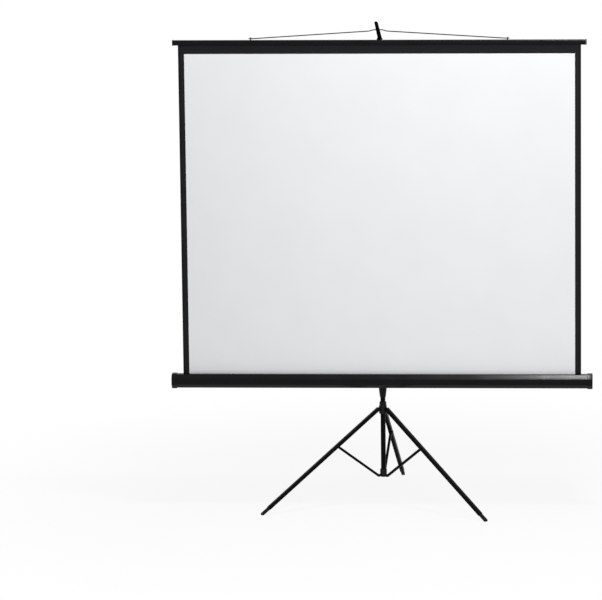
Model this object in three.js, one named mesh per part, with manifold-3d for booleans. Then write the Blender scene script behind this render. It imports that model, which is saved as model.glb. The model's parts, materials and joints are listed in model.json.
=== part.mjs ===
// Tripod projection screen: a spring-roller screen in an eight-sided case, carried on a telescopic
// mast with a folding three-legged stand. Millimetres, +Z up, the viewer stands at -Y.

import * as THREE from 'three';
import { mergeVertices } from 'three/addons/utils/BufferGeometryUtils.js';
import Module from 'manifold-3d';

const wasm = await Module();
wasm.setup();

// Fits shared by all pieces
const CLEARANCE = 0.3;

// Stand: three channel legs hinged on a sliding hub, with stays to the foot of the post
const FOOT_RADIUS = 502;
const HUB_PIN_RADIUS = 21;
const HUB_GAP = 18;
const STAY_LENGTH = 212.5;
const BACK_LEG_AZIMUTH = 84;
const LEG_COUNT = 3;

// Leg channel, open towards the post
const LEG_WIDTH = 16;
const LEG_BACK = 7;
const LEG_LIP = 6;
const LEG_WALL = 1.4;
const LEG_OVERHANG = 7;
const LEG_END_GAP = 38;

// Rubber tip in the end of each leg
const TIP_PLUG = 30;
const TIP_INSET = 0.5;
const TIP_FLAT_RISE = 3.8;

// Flat stays and their rivets
const STAY_WIDTH = 8;
const STAY_THICKNESS = 3;
const LUG_THICKNESS = 5;
const LUG_RADIUS = 5;
const PIN_RADIUS = 3;
const RIVET_RADIUS = 2.5;
const HEAD_HEIGHT = 1.6;
const HEAD_OVERHANG = 2;
const HEAD_CROWN = 0.6;

// Post and extension tube
const POST_RADIUS = 9.5;
const POST_WALL = 1.2;
const POST_TOP = 1039;
const MAST_RADIUS = 7.5;
const MAST_WALL = 1;
const MAST_BOTTOM = 930;
const MAST_TOP = 1790;

// Base boss and leg hub
const BOSS_WALL = 3.2;
const BOSS_FLOOR = 6;
const BOSS_HEIGHT = 30;
const BOSS_LUG_RISE = 5.5;
const HUB_WALL = 5.2;
const HUB_BELOW_PIN = 18;
const HUB_BODY_HEIGHT = 30;
const HUB_NECK_HEIGHT = 17;
const HUB_NECK_WALL = 3.4;
const HUB_TAPER = 4;

// Clamp knobs
const KNOB_LOBES = 5;
const HUB_KNOB_RADIUS = 7.5;
const HUB_KNOB_AZIMUTH = 90;
const CARRIER_KNOB_RADIUS = 13;
const KNOB_DEPTH = 12;
const KNOB_SHANK_RADIUS = 3;
const KNOB_NECK = 3;
const KNOB_LOBE_DEPTH = 0.1;
const KNOB_NECK_SHARE = 0.55;

// Lock collar at the top of the post
const COLLAR_RADIUS = 12;
const COLLAR_GRIP = 30;
const COLLAR_RISE = 20;
const COLLAR_EASE = 1.5;
const POCKET_FLOOR = 1.7;
const BUTTON_RADIUS = 4.5;
const BUTTON_LENGTH = 8;
const BUTTON_EASE = 1;
const BUTTON_TRAVEL = 3;
const BUTTON_BOSS_REACH = 17;
const BUTTON_BOSS_WIDTH = 14;
const BUTTON_BOSS_HEIGHT = 20;

// Hook arm on the head of the extension tube
const ARM_WIDTH = 16;
const ARM_TIP_WIDTH = 13.5;
const ARM_THICKNESS = 9;
const ARM_PIN_RISE = 10;
const ARM_PIN_RADIUS = 2.5;
const ARM_RISE = 77.5;
const ARM_LEAN_FORWARD = 30;
const ARM_LEAN_SIDE = 10;
const ARM_LEDGE_RISE = 40;
const FORK_WALL = 2;
const FORK_FLOOR = 4;
const FORK_PLUG_LENGTH = 20;
const FORK_HALF_DEPTH = 8;
const FORK_CORNER = 3;

// Carrier sleeve, swivel and handle
const CARRIER_DROP = 77;
const CARRIER_RISE = 73;
const CARRIER_EASE = 2;
const CARRIER_WALL = 5.2;
const CARRIER_SKIRT = 30;
const CARRIER_SKIRT_WALL = 1.6;
const PIVOT_BOSS_RADIUS = 15;
const PIVOT_RADIUS = 4;
const PIVOT_HEAD_RADIUS = 7;
const PIVOT_HEAD_HEIGHT = 3.5;
const HANDLE_REACH = 57;
const HANDLE_BAR = 13;
const HANDLE_RAIL = 12;
const HANDLE_WIDTH = 17;
const HANDLE_HEIGHT = 108;
const HANDLE_CORNER = 4;
const KNOB_BOSS_RADIUS = 7;
const KNOB_BOSS_REACH = 22;
const KNOB_BOSS_RISE = 38;

// Case, its saddle and its end caps
const CASE_HEIGHT = 497;
const CASE_OFFSET = 66;
const CASE_LENGTH = 1612;
const CASE_FLATS = 53;
const CASE_WALL = 1.2;
const CASE_CORNER = 3;
const CASE_SLOT = 6;
const CAP_LENGTH = 20;
const CAP_WALL = 2.2;
const CAP_DOME = 4;
const SADDLE_LENGTH = 90;
const SADDLE_HEIGHT = 44;
const SADDLE_FLOOR = 9;
const SADDLE_WRAP = 14;
const SADDLE_SEAT = 4;

// Spring roller
const ROLLER_RADIUS = 11;
const ROLLER_WALL = 1;
const ROLLER_OFFSET = 7.1;
const ROLLER_MARGIN = 8;
const ROLL_THICKNESS = 2;
const PLUG_LENGTH = 30;
const PLUG_FLANGE = 3;
const AXLE_RADIUS = 4;
const SPINDLE_RADIUS = 3;
const SPRING_RADIUS = 8;
const SPRING_WIRE = 1.2;
const SPRING_TURNS = 24;
const SPRING_PITCH = 9;

// Screen sheet and top slat
const SHEET_MARGIN = 44;
const FABRIC_THICKNESS = 0.4;
const SLAT_LENGTH = 1560;
const SLAT_TOP = 1809;
const SLAT_HEIGHT = 20;
const SLAT_DEPTH = 14;
const SLAT_CORNER = 4;
const SLAT_WALL = 1.4;
const SLAT_GROOVE = 10;
const SLAT_CAP = 3;
const SLAT_CAP_RIM = 1;

// Hanger wire and its eyes
const WIRE_RADIUS = 2;
const EYE_SPREAD = 485;
const EYE_THICKNESS = 4;
const EYE_HALF_WIDTH = 5;
const EYE_RISE = 5;
const WIRE_TAIL = 8;
const WIRE_HUMP = 16;
const WIRE_SHOULDER = 34;
const WIRE_DROP = 5;
const WIRE_PLAY = 1.5;

// Facets
const ROUND = 24;
const SMALL_ROUND = 12;

// Places worked out from the sizes above
const hubTop = CASE_HEIGHT - CARRIER_DROP - HUB_GAP;
const hubBottom = hubTop - HUB_BODY_HEIGHT - HUB_NECK_HEIGHT;
const hubPinHeight = hubBottom + HUB_BELOW_PIN;
const legAngle = Math.atan2(FOOT_RADIUS - HUB_PIN_RADIUS, hubPinHeight);
const legLength = Math.hypot(FOOT_RADIUS - HUB_PIN_RADIUS, hubPinHeight);
const basePinHeight = hubPinHeight - 2 * STAY_LENGTH * Math.cos(legAngle);
const bossBottom = basePinHeight - BOSS_LUG_RISE;
const postBottom = bossBottom + BOSS_FLOOR + CLEARANCE;
const sheetHalf = CASE_LENGTH / 2 - SHEET_MARGIN;
const caseY = -CASE_OFFSET;
const rollRadius = ROLLER_RADIUS + CLEARANCE + ROLL_THICKNESS;
const rollerY = caseY - ROLLER_OFFSET;
const fabricY = rollerY + rollRadius + CLEARANCE + FABRIC_THICKNESS / 2;
const slatBottom = SLAT_TOP - SLAT_HEIGHT;
const stayFace = CLEARANCE / 2;
const armPinHeight = MAST_TOP + ARM_PIN_RISE;
const slope = (degrees) => Math.tan(THREE.MathUtils.degToRad(degrees));

// Colours of the finishes
const BLACK_ENAMEL = { color: 0x17181b, roughness: 0.42, metalness: 0.3 };
const BLACK_PLASTIC = { color: 0x101113, roughness: 0.55, metalness: 0 };
const BLACK_RUBBER = { color: 0x0c0c0d, roughness: 0.85, metalness: 0 };
const BLUE_PLASTIC = { color: 0x3f4aa8, roughness: 0.4, metalness: 0 };
const ZINC_STEEL = { color: 0x8d9094, roughness: 0.35, metalness: 1 };
const WHITE_SHEET = { color: 0xf1f2f4, roughness: 0.9, metalness: 0 };

const screen = new THREE.Group();

// Closed mesh of a geometry: corners merged, no empty faces, faces turned outwards
function closed(geometry) {
  const bare = geometry.clone();
  bare.deleteAttribute('normal');
  bare.deleteAttribute('uv');
  const merged = mergeVertices(bare, 1e-4);
  const index = merged.index.array;
  const corner = (vertex) => new THREE.Vector3().fromBufferAttribute(merged.attributes.position, vertex);
  const faces = [];
  let volume = 0;
  for (let face = 0; face < index.length; face += 3) {
    const [a, b, c] = index.slice(face, face + 3);
    if (a !== b && b !== c && c !== a) {
      faces.push(a, b, c);
      volume += corner(a).dot(corner(b).cross(corner(c)));
    }
  }
  if (volume < 0) {
    faces.reverse();
  }
  merged.setIndex(faces);
  return merged;
}

// Adds one named piece to the screen
function add(name, geometry, finish) {
  const mesh = new THREE.Mesh(closed(geometry), new THREE.MeshStandardMaterial(finish));
  mesh.name = name;
  screen.add(mesh);
}

// Solid of a closed geometry, for joining and cutting
function solidOf(geometry) {
  const mesh = closed(geometry);
  const vertProperties = new Float32Array(mesh.attributes.position.array);
  const triVerts = new Uint32Array(mesh.index.array);
  return new wasm.Manifold(new wasm.Mesh({ numProp: 3, vertProperties, triVerts }));
}

function geometryOf(solid) {
  const mesh = solid.getMesh();
  const geometry = new THREE.BufferGeometry();
  geometry.setAttribute('position', new THREE.BufferAttribute(new Float32Array(mesh.vertProperties), 3));
  geometry.setIndex(new THREE.BufferAttribute(new Uint32Array(mesh.triVerts), 1));
  return geometry;
}

function join(first, ...others) {
  return geometryOf(others.reduce((solid, other) => solid.add(solidOf(other)), solidOf(first)));
}

function cut(first, ...tools) {
  return geometryOf(tools.reduce((solid, tool) => solid.subtract(solidOf(tool)), solidOf(first)));
}

// Box between two corners
function box(x0, x1, y0, y1, z0, z1) {
  const geometry = new THREE.BoxGeometry(x1 - x0, y1 - y0, z1 - z0);
  return geometry.translate((x0 + x1) / 2, (y0 + y1) / 2, (z0 + z1) / 2);
}

// Closed revolve about Z of [radius, height] points that close on themselves
function revolve(points, sides = ROUND) {
  const ring = [...points, points[0]].map(([radius, height]) => new THREE.Vector2(radius, height));
  return new THREE.LatheGeometry(ring, sides).rotateX(Math.PI / 2);
}

// Tube about Z
function tube(inner, outer, z0, z1, sides = ROUND) {
  return revolve([[inner, z0], [outer, z0], [outer, z1], [inner, z1]], sides);
}

// Round bar about Z
function bar(radius, z0, z1, sides = ROUND) {
  return new THREE.CylinderGeometry(radius, radius, z1 - z0, sides)
    .rotateX(Math.PI / 2)
    .translate(0, 0, (z0 + z1) / 2);
}

// Rivet about Z with a head at each end that it is given
function rivet(radius, z0, z1, headBelow, headAbove) {
  const head = radius + HEAD_OVERHANG;
  const points = [];
  if (headBelow) {
    points.push([head * HEAD_CROWN, z0 - HEAD_HEIGHT], [head, z0 - HEAD_HEIGHT / 2], [head, z0]);
  }
  points.push([radius, z0], [radius, z1]);
  if (headAbove) {
    points.push([head, z1], [head, z1 + HEAD_HEIGHT / 2], [head * HEAD_CROWN, z1 + HEAD_HEIGHT]);
  }
  const first = points[0][1];
  const last = points.at(-1)[1];
  const profile = [[0, first], ...points, [0, last]];
  const outline = profile.map(([r, height]) => new THREE.Vector2(r, height));
  return new THREE.LatheGeometry(outline, SMALL_ROUND).rotateX(Math.PI / 2);
}

// Extrusion along +Z of an outline of [x, y] points
function prism(points, z0, z1) {
  const shape = new THREE.Shape(points.map(([x, y]) => new THREE.Vector2(x, y)));
  return new THREE.ExtrudeGeometry(shape, { depth: z1 - z0, bevelEnabled: false }).translate(0, 0, z0);
}

// Outline of a polygon with rounded corners
function roundedOutline(corners, radius, steps = 3) {
  const points = [];
  corners.forEach((corner, index) => {
    const here = new THREE.Vector2(...corner);
    const before = new THREE.Vector2(...corners.at(index - 1)).sub(here).normalize();
    const after = new THREE.Vector2(...corners[(index + 1) % corners.length]).sub(here).normalize();
    const half = Math.acos(THREE.MathUtils.clamp(before.dot(after), -1, 1)) / 2;
    const centre = here.clone().addScaledVector(
      before.clone().add(after).normalize(), radius / Math.sin(half));
    const start = here.clone().addScaledVector(before, radius / Math.tan(half)).sub(centre);
    const turn = (Math.PI - 2 * half) * (before.cross(after) < 0 ? 1 : -1);
    for (let step = 0; step <= steps; step += 1) {
      const arm = start.clone().rotateAround(new THREE.Vector2(), (turn * step) / steps);
      points.push([centre.x + arm.x, centre.y + arm.y]);
    }
  });
  return points;
}

// Octagon with flats above and below, in front and behind
function octagon(flats) {
  const reach = flats / 2 / Math.cos(Math.PI / 8);
  return Array.from({ length: 8 }, (_, index) => {
    const angle = ((index + 0.5) * Math.PI) / 4;
    return [reach * Math.cos(angle), reach * Math.sin(angle)];
  });
}

// Turns an outline's [y, z] extrusion so that it runs along X, from x0
function alongX(geometry) {
  const basis = new THREE.Matrix4().makeBasis(
    new THREE.Vector3(0, 1, 0), new THREE.Vector3(0, 0, 1), new THREE.Vector3(1, 0, 0));
  return geometry.applyMatrix4(basis);
}

// Turns a piece made about Z so that it lies along Y
function alongY(geometry) {
  return geometry.rotateX(-Math.PI / 2);
}

// Turns a piece made in the plane of the leg at azimuth 0 to the leg at the given azimuth
function aroundPost(geometry, azimuth) {
  return geometry.rotateZ(THREE.MathUtils.degToRad(azimuth));
}

// Places a piece made in leg axes (x outwards, y across, z up the leg) on the leg's own line
function onLeg(geometry, azimuth) {
  geometry.rotateY(-legAngle).translate(HUB_PIN_RADIUS, 0, hubPinHeight);
  return aroundPost(geometry, azimuth);
}

// Pin across a leg at a distance down from the hub pin
function acrossLeg(geometry, down) {
  return alongY(geometry).translate(0, 0, -down);
}

// Lug plate that runs out from the post to a pin
function lug(pinRadius, y0, y1) {
  const plate = [[0, -LUG_RADIUS], [pinRadius, -LUG_RADIUS]];
  for (let step = 1; step < 6; step += 1) {
    const angle = -Math.PI / 2 + (step * Math.PI) / 6;
    plate.push([pinRadius + LUG_RADIUS * Math.cos(angle), LUG_RADIUS * Math.sin(angle)]);
  }
  plate.push([pinRadius, LUG_RADIUS], [0, LUG_RADIUS]);
  return prism(plate, -y1, -y0).rotateX(Math.PI / 2);
}

// Flat stay with round ends, hanging down from its upper hole
function stayBar() {
  const half = STAY_WIDTH / 2;
  const outline = [];
  for (let step = 0; step <= 6; step += 1) {
    const angle = (step * Math.PI) / 6;
    outline.push([half * Math.cos(angle), half * Math.sin(angle)]);
  }
  for (let step = 0; step <= 6; step += 1) {
    const angle = Math.PI + (step * Math.PI) / 6;
    outline.push([half * Math.cos(angle), -STAY_LENGTH + half * Math.sin(angle)]);
  }
  return prism(outline, -stayFace - STAY_THICKNESS, -stayFace).rotateX(Math.PI / 2);
}

// Lobed clamp knob about Z, its shank pointing down to z0
function knob(radius, z0, neck) {
  const outline = [];
  const steps = KNOB_LOBES * 6;
  for (let step = 0; step < steps; step += 1) {
    const angle = (step * 2 * Math.PI) / steps;
    const reach = radius * (1 - KNOB_LOBE_DEPTH + KNOB_LOBE_DEPTH * Math.cos(KNOB_LOBES * angle));
    outline.push([reach * Math.cos(angle), reach * Math.sin(angle)]);
  }
  const grip = prism(outline, neck, neck + KNOB_DEPTH);
  const collar = bar(radius * KNOB_NECK_SHARE, neck - KNOB_NECK, neck + 1, SMALL_ROUND);
  return join(grip, collar, bar(KNOB_SHANK_RADIUS, z0, neck, SMALL_ROUND));
}

// Stand: post and base boss
const postBore = POST_RADIUS + CLEARANCE;
const bossRadius = postBore + BOSS_WALL;
const bossTop = bossBottom + BOSS_HEIGHT;
const legAzimuths = Array.from(
  { length: LEG_COUNT }, (_, index) => BACK_LEG_AZIMUTH + (index * 360) / LEG_COUNT);

add('outer_tube', tube(POST_RADIUS - POST_WALL, POST_RADIUS, postBottom, POST_TOP), BLACK_ENAMEL);

const boss = cut(
  join(
    bar(bossRadius, bossBottom, bossTop),
    ...legAzimuths.map((azimuth) => aroundPost(
      lug(HUB_PIN_RADIUS, -stayFace - STAY_THICKNESS, -stayFace).translate(0, 0, basePinHeight), azimuth)),
  ),
  bar(postBore, postBottom - CLEARANCE, bossTop + 1),
);
add('base_boss', boss, BLACK_PLASTIC);

// Stand: sliding hub with a lug inside each leg
const hubBore = postBore;
const hubRadius = hubBore + HUB_WALL;
const hubShoulder = hubBottom + HUB_BODY_HEIGHT;
const hubNeckRadius = hubBore + HUB_NECK_WALL;
const hubKnobHeight = hubShoulder + HUB_NECK_HEIGHT / 2;
const hubScrew = (radius, z0, z1) => aroundPost(
  bar(radius, z0, z1, SMALL_ROUND).rotateY(Math.PI / 2).translate(0, 0, hubKnobHeight), HUB_KNOB_AZIMUTH);

const hub = cut(
  join(
    revolve([[0, hubBottom], [hubRadius, hubBottom], [hubRadius, hubShoulder],
      [hubNeckRadius, hubShoulder + HUB_TAPER], [hubNeckRadius, hubTop], [0, hubTop]]),
    ...legAzimuths.map((azimuth) => aroundPost(
      lug(HUB_PIN_RADIUS, -LUG_THICKNESS / 2, LUG_THICKNESS / 2).translate(0, 0, hubPinHeight), azimuth)),
  ),
  bar(hubBore, hubBottom - 1, hubTop + 1),
  ...legAzimuths.map((azimuth) => aroundPost(
    alongY(bar(PIN_RADIUS + CLEARANCE, -LEG_WIDTH, LEG_WIDTH, SMALL_ROUND))
      .translate(HUB_PIN_RADIUS, 0, hubPinHeight), azimuth)),
  hubScrew(KNOB_SHANK_RADIUS + CLEARANCE, 0, 2 * hubRadius),
);
add('leg_hub', hub, BLACK_PLASTIC);

// Stand: hub clamp knob
const hubKnobNeck = hubNeckRadius + CLEARANCE + KNOB_NECK;
const hubKnob = knob(HUB_KNOB_RADIUS, POST_RADIUS + CLEARANCE, hubKnobNeck)
  .rotateY(Math.PI / 2).translate(0, 0, hubKnobHeight);
add('hub_knob', aroundPost(hubKnob, HUB_KNOB_AZIMUTH), BLACK_PLASTIC);

// Stand: legs, tips, stays and rivets
const legEnd = legLength - LEG_END_GAP;
const legHalf = LEG_WIDTH / 2;
const pinHole = PIN_RADIUS + CLEARANCE;
const rivetHole = RIVET_RADIUS + CLEARANCE;

function legChannel() {
  const inner = legHalf - LEG_WALL;
  const web = LEG_BACK - LEG_WALL;
  const outline = [[-LEG_LIP, -legHalf], [LEG_BACK, -legHalf], [LEG_BACK, legHalf], [-LEG_LIP, legHalf],
    [-LEG_LIP, inner], [web, inner], [web, -inner], [-LEG_LIP, -inner]];
  const head = cut(
    box(-2 * LEG_WIDTH, 2 * LEG_WIDTH, -LEG_WIDTH, LEG_WIDTH, 0, 2 * LEG_OVERHANG),
    acrossLeg(bar(LEG_OVERHANG, -2 * LEG_WIDTH, 2 * LEG_WIDTH), 0),
  );
  return cut(
    prism(outline, -legEnd, LEG_OVERHANG),
    head,
    acrossLeg(bar(pinHole, -LEG_WIDTH, LEG_WIDTH, SMALL_ROUND), 0),
    acrossLeg(bar(rivetHole, -LEG_WIDTH, LEG_WIDTH, SMALL_ROUND), STAY_LENGTH),
  );
}

// Tip that fills the end of a leg, rounded below and cut flat on the floor
function legTip(azimuth) {
  const back = LEG_BACK - LEG_WALL - CLEARANCE;
  const front = TIP_INSET - LEG_LIP;
  const across = legHalf - LEG_WALL - CLEARANCE;
  const round = (back - front) / 2;
  const lowest = -legLength + TIP_FLAT_RISE / Math.cos(legAngle) - round;
  const highest = -legEnd + TIP_PLUG;
  const outline = roundedOutline([[front, lowest], [back, lowest], [back, highest], [front, highest]],
    round - TIP_INSET, 6);
  const tip = prism(outline, -across, across).rotateX(Math.PI / 2);
  const reach = 2 * FOOT_RADIUS;
  const floor = box(-reach, reach, -reach, reach, -LEG_END_GAP, 0);
  return cut(onLeg(tip, azimuth), floor);
}

// Places a piece made about the leg's stay pin, hanging straight down, along the stay
function onStay(geometry, azimuth) {
  geometry.rotateY(legAngle).translate(
    HUB_PIN_RADIUS + STAY_LENGTH * Math.sin(legAngle), 0, hubPinHeight - STAY_LENGTH * Math.cos(legAngle));
  return aroundPost(geometry, azimuth);
}

legAzimuths.forEach((azimuth, index) => {
  const number = index + 1;
  const across = legHalf + CLEARANCE;
  add(`leg_${number}`, onLeg(legChannel(), azimuth), BLACK_ENAMEL);
  add(`leg_pin_${number}`, onLeg(
    acrossLeg(rivet(PIN_RADIUS, -across, across, true, true), 0), azimuth), BLACK_ENAMEL);
  add(`foot_${number}`, legTip(azimuth), BLACK_RUBBER);
  const stay = cut(
    stayBar(),
    alongY(bar(rivetHole, -LEG_WIDTH, LEG_WIDTH, SMALL_ROUND)),
    acrossLeg(bar(rivetHole, -LEG_WIDTH, LEG_WIDTH, SMALL_ROUND), STAY_LENGTH),
  );
  add(`strut_${number}`, onStay(stay, azimuth), BLACK_ENAMEL);
  add(`strut_pin_${number}`, onLeg(
    acrossLeg(rivet(RIVET_RADIUS, -across, across, true, true), STAY_LENGTH), azimuth), BLACK_ENAMEL);
  add(`stay_rivet_${number}`, onStay(
    acrossLeg(rivet(RIVET_RADIUS, stayFace, stayFace + STAY_THICKNESS + CLEARANCE, false, true), STAY_LENGTH),
    azimuth), BLACK_ENAMEL);
});

// Mast: lock collar and its button
const mastBore = MAST_RADIUS + CLEARANCE;
const collarBottom = POST_TOP - COLLAR_GRIP;
const collarTop = POST_TOP + COLLAR_RISE;
const collarSeat = POST_TOP + CLEARANCE;
const collarEdge = COLLAR_RADIUS - COLLAR_EASE;
const buttonHeight = POST_TOP + COLLAR_RISE / 2;
const buttonPocket = mastBore + POCKET_FLOOR;

const collar = cut(
  join(
    revolve([[0, collarBottom], [collarEdge, collarBottom], [COLLAR_RADIUS, collarBottom + COLLAR_EASE],
      [COLLAR_RADIUS, collarTop - COLLAR_EASE], [collarEdge, collarTop], [0, collarTop]]),
    box(-BUTTON_BOSS_WIDTH / 2, BUTTON_BOSS_WIDTH / 2, 0, BUTTON_BOSS_REACH,
      buttonHeight - BUTTON_BOSS_HEIGHT / 2, buttonHeight + BUTTON_BOSS_HEIGHT / 2),
  ),
  bar(mastBore, collarBottom - 1, collarTop + 1),
  bar(postBore, collarBottom - 1, collarSeat),
  alongY(bar(BUTTON_RADIUS + CLEARANCE, buttonPocket, BUTTON_BOSS_REACH + 1, SMALL_ROUND))
    .translate(0, 0, buttonHeight),
);
add('lock_collar', collar, BLUE_PLASTIC);

const buttonStart = buttonPocket + CLEARANCE + BUTTON_TRAVEL;
const buttonEnd = buttonStart + BUTTON_LENGTH;
const button = revolve([[0, buttonStart], [BUTTON_RADIUS, buttonStart],
  [BUTTON_RADIUS, buttonEnd - BUTTON_EASE], [BUTTON_RADIUS - BUTTON_EASE, buttonEnd],
  [0, buttonEnd]], SMALL_ROUND);
add('lock_button', alongY(button).translate(0, 0, buttonHeight), BLUE_PLASTIC);

// Mast: extension tube, fork and hook arm
add('extension_tube', tube(MAST_RADIUS - MAST_WALL, MAST_RADIUS, MAST_BOTTOM, MAST_TOP), BLACK_ENAMEL);

const forkSeat = MAST_TOP + CLEARANCE;
const forkInner = ARM_WIDTH / 2 + CLEARANCE;
const forkOuter = forkInner + FORK_WALL;
const forkTop = armPinHeight + FORK_HALF_DEPTH;
const forkCheek = roundedOutline([[-FORK_HALF_DEPTH, forkSeat], [FORK_HALF_DEPTH, forkSeat],
  [FORK_HALF_DEPTH, forkTop], [-FORK_HALF_DEPTH, forkTop]], FORK_CORNER);
const fork = cut(
  join(
    alongX(prism(forkCheek, -forkOuter, forkOuter)),
    bar(MAST_RADIUS - MAST_WALL - CLEARANCE, MAST_TOP - FORK_PLUG_LENGTH, forkSeat + 1),
  ),
  box(-forkInner, forkInner, -2 * FORK_HALF_DEPTH, 2 * FORK_HALF_DEPTH,
    forkSeat + FORK_FLOOR, forkTop + 1),
  bar(ARM_PIN_RADIUS + CLEARANCE, -2 * forkOuter, 2 * forkOuter, SMALL_ROUND)
    .rotateY(Math.PI / 2).translate(0, 0, armPinHeight),
);
add('arm_fork', fork, BLACK_PLASTIC);
const armPinEnd = forkOuter + CLEARANCE;
add('arm_pin', rivet(ARM_PIN_RADIUS, -armPinEnd, armPinEnd, true, true)
  .rotateY(Math.PI / 2).translate(0, 0, armPinHeight), ZINC_STEEL);

// Leans a piece made upright above the arm's pin forwards
function leanArm(geometry) {
  const lean = new THREE.Matrix4().set(
    1, 0, 0, 0,
    0, 1, -slope(ARM_LEAN_FORWARD), 0,
    0, 0, 1, 0,
    0, 0, 0, 1);
  return geometry.applyMatrix4(lean);
}

// The arm stands straight between the cheeks and leans to the side above them
const armHalf = ARM_WIDTH / 2;
const armTip = ARM_TIP_WIDTH / 2;
const armKnee = FORK_HALF_DEPTH * Math.SQRT2 + CLEARANCE;
const armShift = (rise) => -(rise - armKnee) * slope(ARM_LEAN_SIDE);
const armShoulder = ARM_RISE - armTip;
const armOutline = [[-armHalf, 0], [armHalf, 0], [armHalf, armKnee]];
for (let step = 0; step <= 6; step += 1) {
  const angle = (step * Math.PI) / 6;
  armOutline.push([armShift(armShoulder) + armTip * Math.cos(angle), armShoulder + armTip * Math.sin(angle)]);
}
armOutline.push([-armHalf, armKnee]);
const armBlade = leanArm(prism(armOutline, -ARM_THICKNESS / 2, ARM_THICKNESS / 2).rotateX(Math.PI / 2));
const armLedge = leanArm(box(-ARM_RISE, ARM_RISE, 0, ARM_RISE, ARM_LEDGE_RISE, 2 * ARM_RISE));
const armKnuckle = ARM_PIN_RISE - FORK_FLOOR - 2 * CLEARANCE;
const armBody = cut(
  join(armBlade, bar(armKnuckle, -armHalf, armHalf).rotateY(Math.PI / 2)),
  armLedge,
  bar(ARM_PIN_RADIUS + CLEARANCE, -ARM_WIDTH, ARM_WIDTH, SMALL_ROUND).rotateY(Math.PI / 2),
);
add('hook_arm', armBody.translate(0, 0, armPinHeight), BLACK_ENAMEL);

// Carrier: sleeve with the swivel boss in front and the knob boss at the side
const carrierBore = postBore;
const carrierRadius = carrierBore + CARRIER_WALL;
const skirtRadius = carrierBore + CARRIER_SKIRT_WALL;
const carrierBottom = CASE_HEIGHT - CARRIER_DROP;
const carrierTop = CASE_HEIGHT + CARRIER_RISE;
const saddleApex = caseY + CASE_FLATS / 2 + CLEARANCE;
const saddleBack = saddleApex + SADDLE_FLOOR;
const pivotFace = saddleBack + CLEARANCE;
const carrierKnobHeight = CASE_HEIGHT + KNOB_BOSS_RISE;

const sleeve = cut(
  join(
    revolve([[0, carrierBottom], [skirtRadius, carrierBottom], [carrierRadius, carrierBottom + CARRIER_SKIRT],
      [carrierRadius, carrierTop - CARRIER_EASE], [carrierRadius - CARRIER_EASE, carrierTop],
      [0, carrierTop]]),
    alongY(bar(PIVOT_BOSS_RADIUS, pivotFace, 0)).translate(0, 0, CASE_HEIGHT),
    bar(KNOB_BOSS_RADIUS, 0, KNOB_BOSS_REACH, SMALL_ROUND)
      .rotateY(Math.PI / 2).translate(0, 0, carrierKnobHeight),
  ),
  bar(carrierBore, carrierBottom - 1, carrierTop + 1),
  alongY(bar(PIVOT_RADIUS + CLEARANCE, pivotFace - 1, 0, SMALL_ROUND)).translate(0, 0, CASE_HEIGHT),
  bar(KNOB_SHANK_RADIUS + CLEARANCE, 0, KNOB_BOSS_REACH + 1, SMALL_ROUND)
    .rotateY(Math.PI / 2).translate(0, 0, carrierKnobHeight),
);
add('carrier_sleeve', sleeve, BLACK_PLASTIC);

const carrierKnobNeck = KNOB_BOSS_REACH + CLEARANCE + KNOB_NECK;
add('carrier_knob', knob(CARRIER_KNOB_RADIUS, POST_RADIUS + CLEARANCE, carrierKnobNeck)
  .rotateY(Math.PI / 2).translate(0, 0, carrierKnobHeight), BLACK_PLASTIC);

// Carrier: loop handle, its rails shaped to the sleeve
const handleBottom = carrierTop - HANDLE_HEIGHT;
const gripInner = HANDLE_REACH - HANDLE_BAR;
const handleOutline = roundedOutline([[0, handleBottom], [HANDLE_REACH, handleBottom],
  [HANDLE_REACH, carrierTop], [0, carrierTop], [0, carrierTop - HANDLE_RAIL],
  [gripInner, carrierTop - HANDLE_RAIL],
  [gripInner, handleBottom + HANDLE_RAIL], [0, handleBottom + HANDLE_RAIL]], HANDLE_CORNER);
const handle = cut(
  alongX(prism(handleOutline, -HANDLE_WIDTH / 2, HANDLE_WIDTH / 2)),
  bar(carrierRadius + CLEARANCE, carrierBottom - 1, carrierTop + 1),
);
add('carry_handle', handle, BLACK_PLASTIC);

// Carrier: swivel bolt, its head sunk in the saddle
const saddleSeat = saddleBack - SADDLE_SEAT;
const boltHead = saddleSeat - CLEARANCE;
const boltFace = boltHead - PIVOT_HEAD_HEIGHT;
const boltEnd = -POST_RADIUS - CLEARANCE;
const bolt = revolve([[0, boltFace], [PIVOT_HEAD_RADIUS * HEAD_CROWN, boltFace],
  [PIVOT_HEAD_RADIUS, boltFace + PIVOT_HEAD_HEIGHT / 2], [PIVOT_HEAD_RADIUS, boltHead],
  [PIVOT_RADIUS, boltHead], [PIVOT_RADIUS, boltEnd], [0, boltEnd]]);
add('pivot_bolt', alongY(bolt).translate(0, 0, CASE_HEIGHT), ZINC_STEEL);

// Case: saddle that the eight-sided shell lies in
const saddleFront = saddleApex - SADDLE_WRAP;
const saddle = cut(
  box(-SADDLE_LENGTH / 2, SADDLE_LENGTH / 2, saddleFront, saddleBack,
    CASE_HEIGHT - SADDLE_HEIGHT / 2, CASE_HEIGHT + SADDLE_HEIGHT / 2),
  alongX(prism(octagon(CASE_FLATS + 2 * CLEARANCE), -SADDLE_LENGTH, SADDLE_LENGTH))
    .translate(0, caseY, CASE_HEIGHT),
  alongY(bar(PIVOT_RADIUS + CLEARANCE, saddleFront, 0, SMALL_ROUND)).translate(0, 0, CASE_HEIGHT),
  alongY(bar(PIVOT_HEAD_RADIUS + CLEARANCE, saddleFront, saddleSeat)).translate(0, 0, CASE_HEIGHT),
);
add('case_saddle', saddle, BLACK_ENAMEL);

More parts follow.
